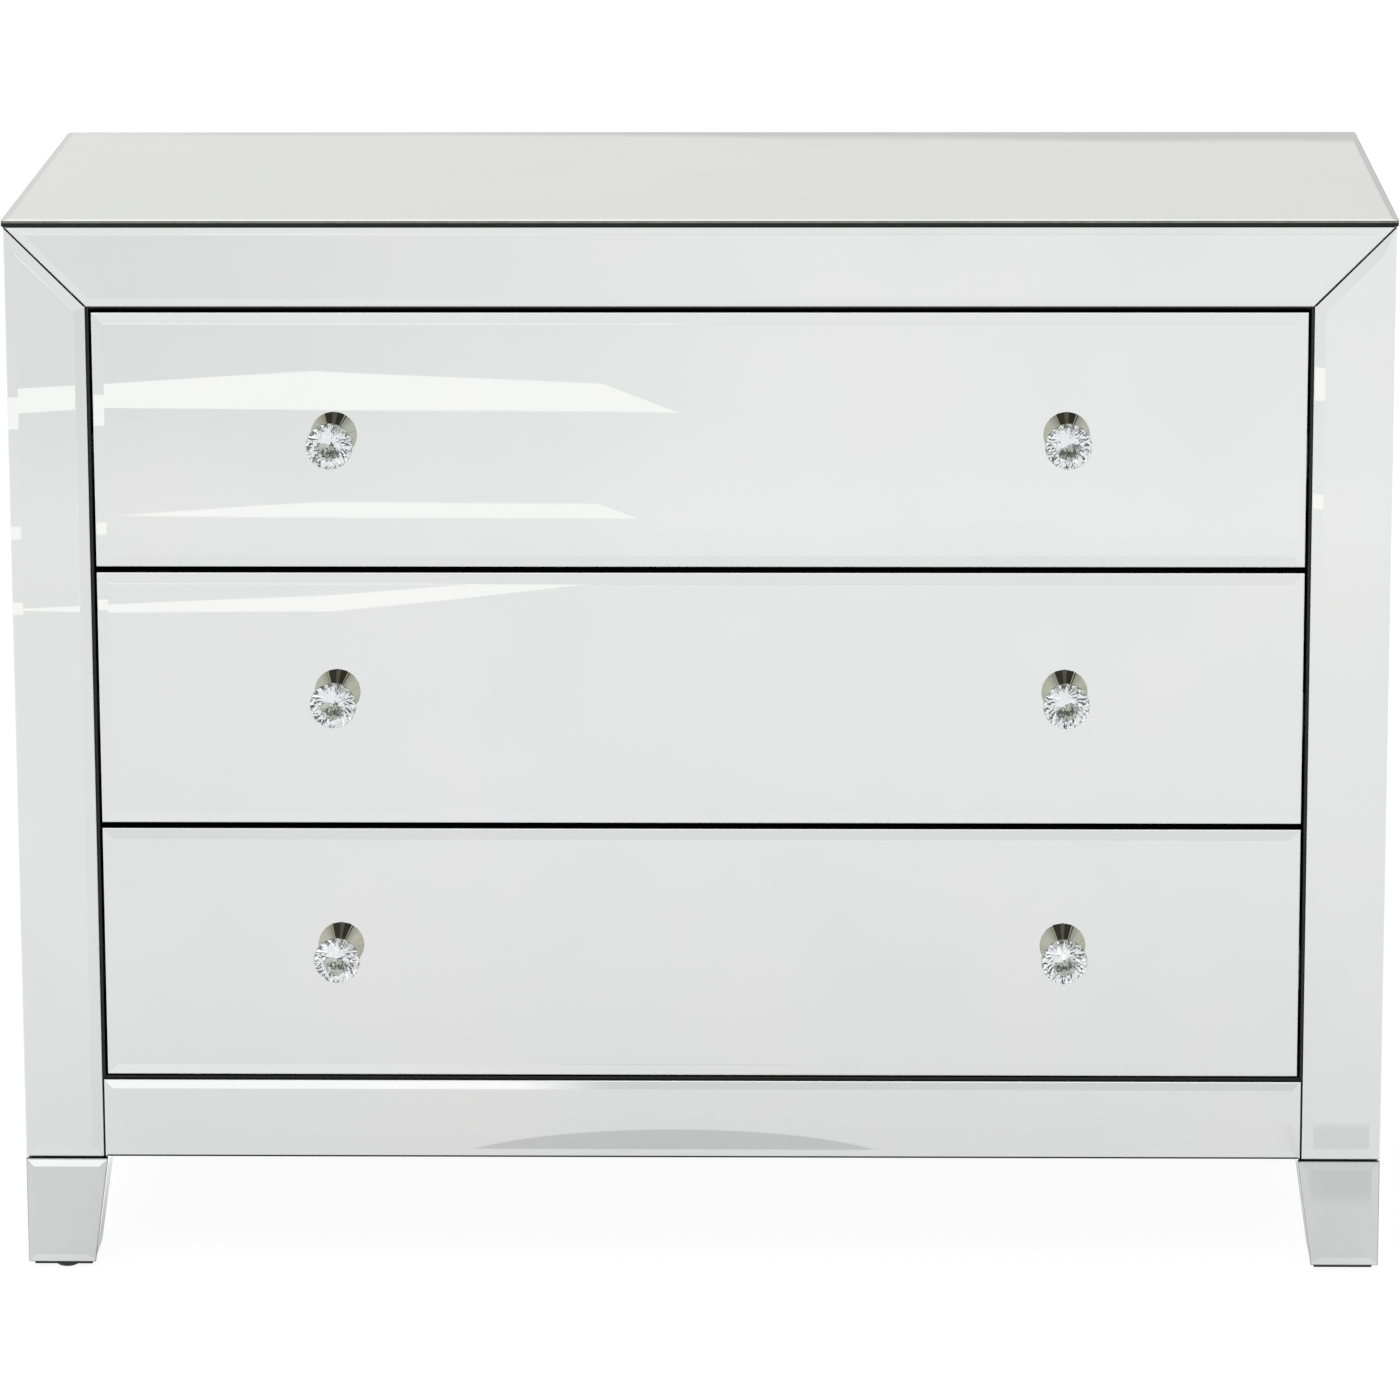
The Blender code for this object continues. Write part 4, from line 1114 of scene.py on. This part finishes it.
def make_runner_parts(drawer):
    """Ball cages in the case members' mouths, and the screws that hold both members."""
    for label, side in SIDES.items():
        case_low, case_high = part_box(f"{drawer}_{label}_case_runner")
        box_low, box_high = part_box(f"{drawer}_{label}_box_runner")
        panel_face = (case_low.x if side < 0 else case_high.x) + side * SEAT_GAP
        middle_z = (case_low.z + case_high.z) / 2
        front_y = case_low.y + CAGE_FROM_FRONT

        def at(inward, along, up):
            return Vector((panel_face - side * inward, front_y + along, middle_z + up))

        # The cage is a thin channel whose tongues carry the balls above and below the drawer member
        fold = CAGE_START + CAGE_METAL
        outer = BALL_RACE_LEVEL + CAGE_METAL / 2
        inner = BALL_RACE_LEVEL - CAGE_METAL / 2
        outline = [(CAGE_END, outer), (CAGE_START, outer), (CAGE_START, -outer), (CAGE_END, -outer)]
        outline += [(CAGE_END, -inner), (fold, -inner), (fold, inner), (CAGE_END, inner)]
        ends = (0, BALL_PITCH * BALL_COUNT)
        cage = lofted([[at(inward, along, up) for inward, up in outline] for along in ends])
        add_piece(f"{drawer}_{label}_ball_cage", cage, ["runner_zinc"], "case")

        ball = bmesh.new()
        radius = RUNNER_BALL / 2
        bmesh.ops.create_uvsphere(ball, u_segments=2 * BALL_STEPS, v_segments=BALL_STEPS, radius=radius)
        ball_x = (CAGE_START + CAGE_END) / 2 + CAGE_METAL
        places = [
            Matrix.Translation(at(ball_x, BALL_PITCH * (index + 0.5), up))
            for index in range(BALL_COUNT)
            for up in (-BALL_RACE_LEVEL, BALL_RACE_LEVEL)
        ]
        balls = joined(ball, places)
        add_piece(f"{drawer}_{label}_balls", balls, ["ball_steel"], "case", smooth=True)

        case_web = panel_face - side * (SEAT_GAP + RUNNER_METAL)
        drawer_web = (box_high.x if side < 0 else box_low.x) + side * RUNNER_METAL
        members = (
            ("case", "case", case_web, case_low, case_high, -side, CASE_SCREW_SHARES),
            ("box", drawer, drawer_web, box_low, box_high, side, DRAWER_SCREW_SHARES),
        )
        for member, body, web, low, high, facing, shares in members:
            turn = Matrix.Rotation(facing * math.pi / 2, 4, "Y")
            screw_ys = [low.y + (high.y - low.y) * share for share in shares]
            places = [Matrix.Translation((web, screw_y, middle_z)) @ turn for screw_y in screw_ys]
            fixings = joined(screw(*RUNNER_SCREW, WOOD_SCREW_LENGTH), places)
            name = f"{drawer}_{label}_{member}_runner_screws"
            add_piece(name, fixings, ["ball_steel"], body, smooth=True)


def spread(first, last, count):
    """Numbers in even steps from one to another."""
    return [first + (last - first) * index / (count - 1) for index in range(count)]


def make_back_screws():
    """Pan-head screws round the edge of the back panel."""
    low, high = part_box("back_panel")
    columns = spread(low.x + BACK_SCREW_INSET, high.x - BACK_SCREW_INSET, BACK_SCREW_COLUMNS)
    rows = spread(low.z + BACK_SCREW_INSET, high.z - BACK_SCREW_INSET, BACK_SCREW_ROWS)
    places = [(x, z) for x in columns for z in (rows[0], rows[-1])]
    places += [(x, z) for x in (columns[0], columns[-1]) for z in rows[1:-1]]
    matrices = [
        Matrix.Translation((x, high.y, z)) @ FACING_BACK @ Matrix.Rotation(BACK_SCREW_TURN * index, 4, "Z")
        for index, (x, z) in enumerate(places)
    ]
    shape = joined(screw(*WOOD_SCREW, WOOD_SCREW_LENGTH), matrices)
    add_piece("back_panel_screws", shape, ["screw_zinc"], "case", smooth=True)


def make_camera():
    camera = bpy.data.objects.new("camera", bpy.data.cameras.new("camera"))
    bpy.context.scene.collection.objects.link(camera)
    camera.data.sensor_width = CAMERA_SENSOR_MM
    camera.data.lens = CAMERA_LENS_MM
    camera.matrix_world = (
        Matrix.Translation(CAMERA_PLACE)
        @ Matrix.Rotation(CAMERA_YAW, 4, "Z")
        @ Matrix.Rotation(CAMERA_PITCH, 4, "X")
        @ Matrix.Rotation(CAMERA_ROLL, 4, "Y")
        @ Matrix.Rotation(math.pi / 2, 4, "X")
    )
    bpy.context.scene.camera = camera


def cleared(block):
    """The node tree of a new material or world, made empty."""
    block.use_nodes = True
    block.node_tree.nodes.clear()
    return block.node_tree


def emission(tree, colour, strength=1.0):
    return flow(tree, "ShaderNodeEmission", 0, Color=colour, Strength=strength)


def diffuse(tree, colour):
    return flow(tree, "ShaderNodeBsdfDiffuse", 0, Color=colour)


def backdrop(tree, colour, strength=1.0):
    return flow(tree, "ShaderNodeBackground", 0, Color=colour, Strength=strength)


def add_shaders(first, second):
    return flow(first.tree, "ShaderNodeAddShader", 0, first, second)


def mix_shaders(factor, first, second):
    return flow(factor.tree, "ShaderNodeMixShader", 0, factor, first, second)


def seen_in_glass(path):
    """1 for light that goes to the camera by way of a mirror or a crystal."""
    return path["Is Glossy Ray"].maths("MAXIMUM", path["Is Transmission Ray"])


def seen_in_crystal(path):
    return path["Ray Depth"].maths("GREATER_THAN", CRYSTAL_DEPTH) * path["Is Transmission Ray"]


def cut_glass_tone(direction):
    """Light and dark parts of the room, as the facets of a crystal break them up."""
    return ramp(cells(direction, CUT_GLASS_CELLS), *CUT_GLASS_TONES, interpolation="CONSTANT")


def distance_from_block(x, y, half_x, half_y):
    """How far a place on the floor lies outside an oblong about the origin."""
    across = (abs(x) - half_x).maths("MAXIMUM", 0)
    along = (abs(y) - half_y).maths("MAXIMUM", 0)
    return (across ** 2 + along ** 2).maths("SQRT")


def mirrored_floor_tone(x, y):
    """How light the floor finishes in the chest's mirrors, from place to place."""
    distance = distance_from_block(x, y, *CHEST_HALVES)
    near = ramp(distance / FLOOR_TONE_REACH, *((share, (tone, tone, tone)) for share, tone in FLOOR_TONES))

    # The far floor is a little duller on the left
    slant = fade(y, *FAR_FLOOR_Y) * fade(x, *FAR_FLOOR_X) + 1

    # A shallow round shade in front of the bottom rail, and one by the right leg
    round_x = (x - ROUND_SHADE_CENTRE[0]) / ROUND_SHADE_RADII[0]
    round_y = (y - ROUND_SHADE_CENTRE[1]) / ROUND_SHADE_RADII[1]
    round_shade = 1 - fade(round_x ** 2 + round_y ** 2, *ROUND_SHADE_EDGE) * fade(y, *ROUND_SHADE_FRONT_Y)
    leg_side = fade(x, *LEG_SHADE_LEFT_X) * fade(x, *LEG_SHADE_RIGHT_X)
    leg_shade = 1 - leg_side * fade(y, *LEG_SHADE_FRONT_Y) * fade(y, *LEG_SHADE_BACK_Y)

    # The legs' lower bevels show a lighter line right in front of the feet
    before_feet = fade(y, *FOOT_LIGHT_FRONT_Y) * fade(y, *FOOT_LIGHT_BACK_Y)
    foot_light = before_feet * fade(abs(x), *FOOT_LIGHT_SIDE_X) + 1

    # At the foot of the far wall the floor is white on the left and grey on the right
    wall = fade(y, *WALL_FOOT_Y) * fade(x, *WALL_FOOT_X) + 1
    return near * slant * round_shade * leg_shade * foot_light * wall


def make_floor():
    """A pale floor that is white outside the chest's shadow, to the camera and to mirror and glass."""
    shape = bmesh.new()
    bmesh.ops.create_circle(shape, cap_ends=True, segments=FLOOR_STEPS, radius=FLOOR_RADIUS)
    floor = new_object("studio_floor", shape)
    floor.location.z = FLOOR_LEVEL

    material = bpy.data.materials.new("studio_floor")
    floor.data.materials.append(material)
    tree = cleared(material)
    path = flows(tree, "ShaderNodeLightPath")
    place = flow(tree, "ShaderNodeNewGeometry", "Position")
    parts = flows(tree, "ShaderNodeSeparateXYZ", Vector=place)
    x, y = parts["X"], parts["Y"]

    tone = mirrored_floor_tone(x, y)
    under = fade(distance_from_block(x, y, *UNDER_CHEST_HALVES), 0.0, UNDER_CHEST_EDGE, 1.0, 0.0)
    glow = mixed(under, toned(tone, grey(MIRRORED_FLOOR_GLOW)), grey(UNDER_CHEST_GLOW))
    from_knobs = flow(tree, "ShaderNodeCombineXYZ", "Vector", X=x, Y=y, Z=-KNOB_LEVEL)
    sparkle = cut_glass_tone(vector_maths("NORMALIZE", from_knobs))

    mirror_share = add_shaders(diffuse(tree, toned(tone, MIRRORED_FLOOR_COLOUR)), emission(tree, glow))
    for_glass = mix_shaders(seen_in_crystal(path), mirror_share, emission(tree, sparkle))
    camera_share = diffuse(tree, grey(CAMERA_FLOOR_GREY))
    for_camera = add_shaders(camera_share, emission(tree, grey(1), CAMERA_FLOOR_GLOW))
    shown = mix_shaders(path["Is Camera Ray"], for_glass, for_camera)
    seen = path["Is Camera Ray"].maths("MAXIMUM", seen_in_glass(path))
    lit = diffuse(tree, grey(LIT_FLOOR_GREY))
    add_node(tree, "ShaderNodeOutputMaterial", mix_shaders(seen, lit, shown))


def make_strips():
    """Light strips that only mirrors and glass show."""
    material = bpy.data.materials.new("light_strip")
    tree = cleared(material)
    add_node(tree, "ShaderNodeOutputMaterial", emission(tree, STRIP_COLOUR, STRIP_GLOW))
    for name, outline in FLOOR_STRIPS.items():
        shape = bmesh.new()
        shape.faces.new([shape.verts.new((x, y, STRIP_LEVEL)) for x, y in outline])
        bmesh.ops.triangulate(shape, faces=shape.faces)
        strip = new_object(name, shape)
        strip.data.materials.append(material)
        strip.visible_camera = False
        strip.visible_diffuse = False
        strip.visible_shadow = False


def make_world():
    """An even studio: plain light for dull surfaces, and soft tones that mirror, metal and glass show."""
    world = bpy.data.worlds.new("studio")
    bpy.context.scene.world = world
    tree = cleared(world)
    path = flows(tree, "ShaderNodeLightPath")
    direction = flow(tree, "ShaderNodeTexCoord", "Generated")
    parts = flows(tree, "ShaderNodeSeparateXYZ", Vector=direction)
    x, y, z = parts["X"], parts["Y"], parts["Z"]

    inwards = y.maths("MAXIMUM", LEAST_DIVISOR)
    above_skyline = fade(z / inwards - fade(x / inwards, *SKYLINE_SLOPES), *SKYLINE_EDGE)
    wall_tone = mixed(above_skyline, fade(x, *BELOW_SKYLINE_X), fade(x, *ABOVE_SKYLINE_X))
    behind = toned(ramp(z, *BEHIND_TONES), wall_tone)

    aside = abs(x - AHEAD_MIDDLE_X)
    ahead = toned(ramp(z, *AHEAD_TONES), fade(aside, *AHEAD_SIDES))
    wall_foot = mixed(fade(x, *WALL_FOOT_CHANGE_X), WALL_FOOT_WHITE, WALL_FOOT_GREY)
    ahead = mixed(fade(z, *WALL_FOOT_Z), ahead, wall_foot)
    reflected = mixed(fade(y, *AHEAD_TO_BEHIND), ahead, behind)

    # What the cups show in the mirrors, which is seen by way of two of them
    twice = path["Ray Depth"].maths("GREATER_THAN", WORLD_DEPTH_BY_TWO_MIRRORS) * path["Is Glossy Ray"]
    lean = x / z.maths("MAXIMUM", LEAST_DIVISOR)
    above = abs(lean).maths("LESS_THAN", CEILING_LEAN) * z.maths("GREATER_THAN", CEILING_START)
    along_ceiling = fade(lean, -CEILING_REACH, CEILING_REACH, 0.0, 1.0)
    ceiling = ramp(along_ceiling, *CEILING_TONES, interpolation="CONSTANT")
    reflected = mixed(twice * above, reflected, ceiling)
    reflected = mixed(seen_in_crystal(path), reflected, cut_glass_tone(direction))

    shown = mix_shaders(path["Is Camera Ray"], backdrop(tree, grey(1), WORLD_LIGHT), backdrop(tree, grey(1)))
    surface = mix_shaders(seen_in_glass(path), shown, backdrop(tree, reflected))
    add_node(tree, "ShaderNodeOutputWorld", surface)


def make_lamp():
    """One wide soft lamp, high on the left in front."""
    lamp = bpy.data.objects.new("studio_lamp", bpy.data.lights.new("studio_lamp", "SUN"))
    lamp.data.energy = LAMP_POWER
    lamp.data.angle = LAMP_WIDTH
    lamp.rotation_euler = LAMP_TILT
    lamp.visible_glossy = False
    lamp.visible_transmission = False
    bpy.context.scene.collection.objects.link(lamp)


def main():
    bpy.context.scene.view_settings.view_transform = "Standard"
    make_camera()
    make_floor()
    make_strips()
    make_world()
    make_lamp()
    make_mirrors()
    for end in ENDS:
        for side in SIDES:
            make_leg(f"{end}_{side}_leg", SIDES[side], ENDS[end])
    for name in CASE_BOARDS:
        keep_node(name, "black_lacquer", BOARD_ROUNDING)
    keep_node("back_panel", "dark_hardboard", BOARD_ROUNDING)
    make_back_screws()
    for drawer in DRAWERS:
        keep_node(f"{drawer}_front_board", "black_lacquer", BOARD_ROUNDING)
        keep_node(f"{drawer}_bottom", "charcoal_flock")
        keep_node(f"{drawer}_back", "black_ash_foil", BOARD_ROUNDING)
        for side in SIDES:
            keep_node(f"{drawer}_{side}_side", "black_ash_foil", BOARD_ROUNDING)
            for member in ("case", "box"):
                keep_node(f"{drawer}_{side}_{member}_runner", "runner_zinc", STEEL_ROUNDING)
        make_knobs(drawer)
        make_runner_parts(drawer)


main()
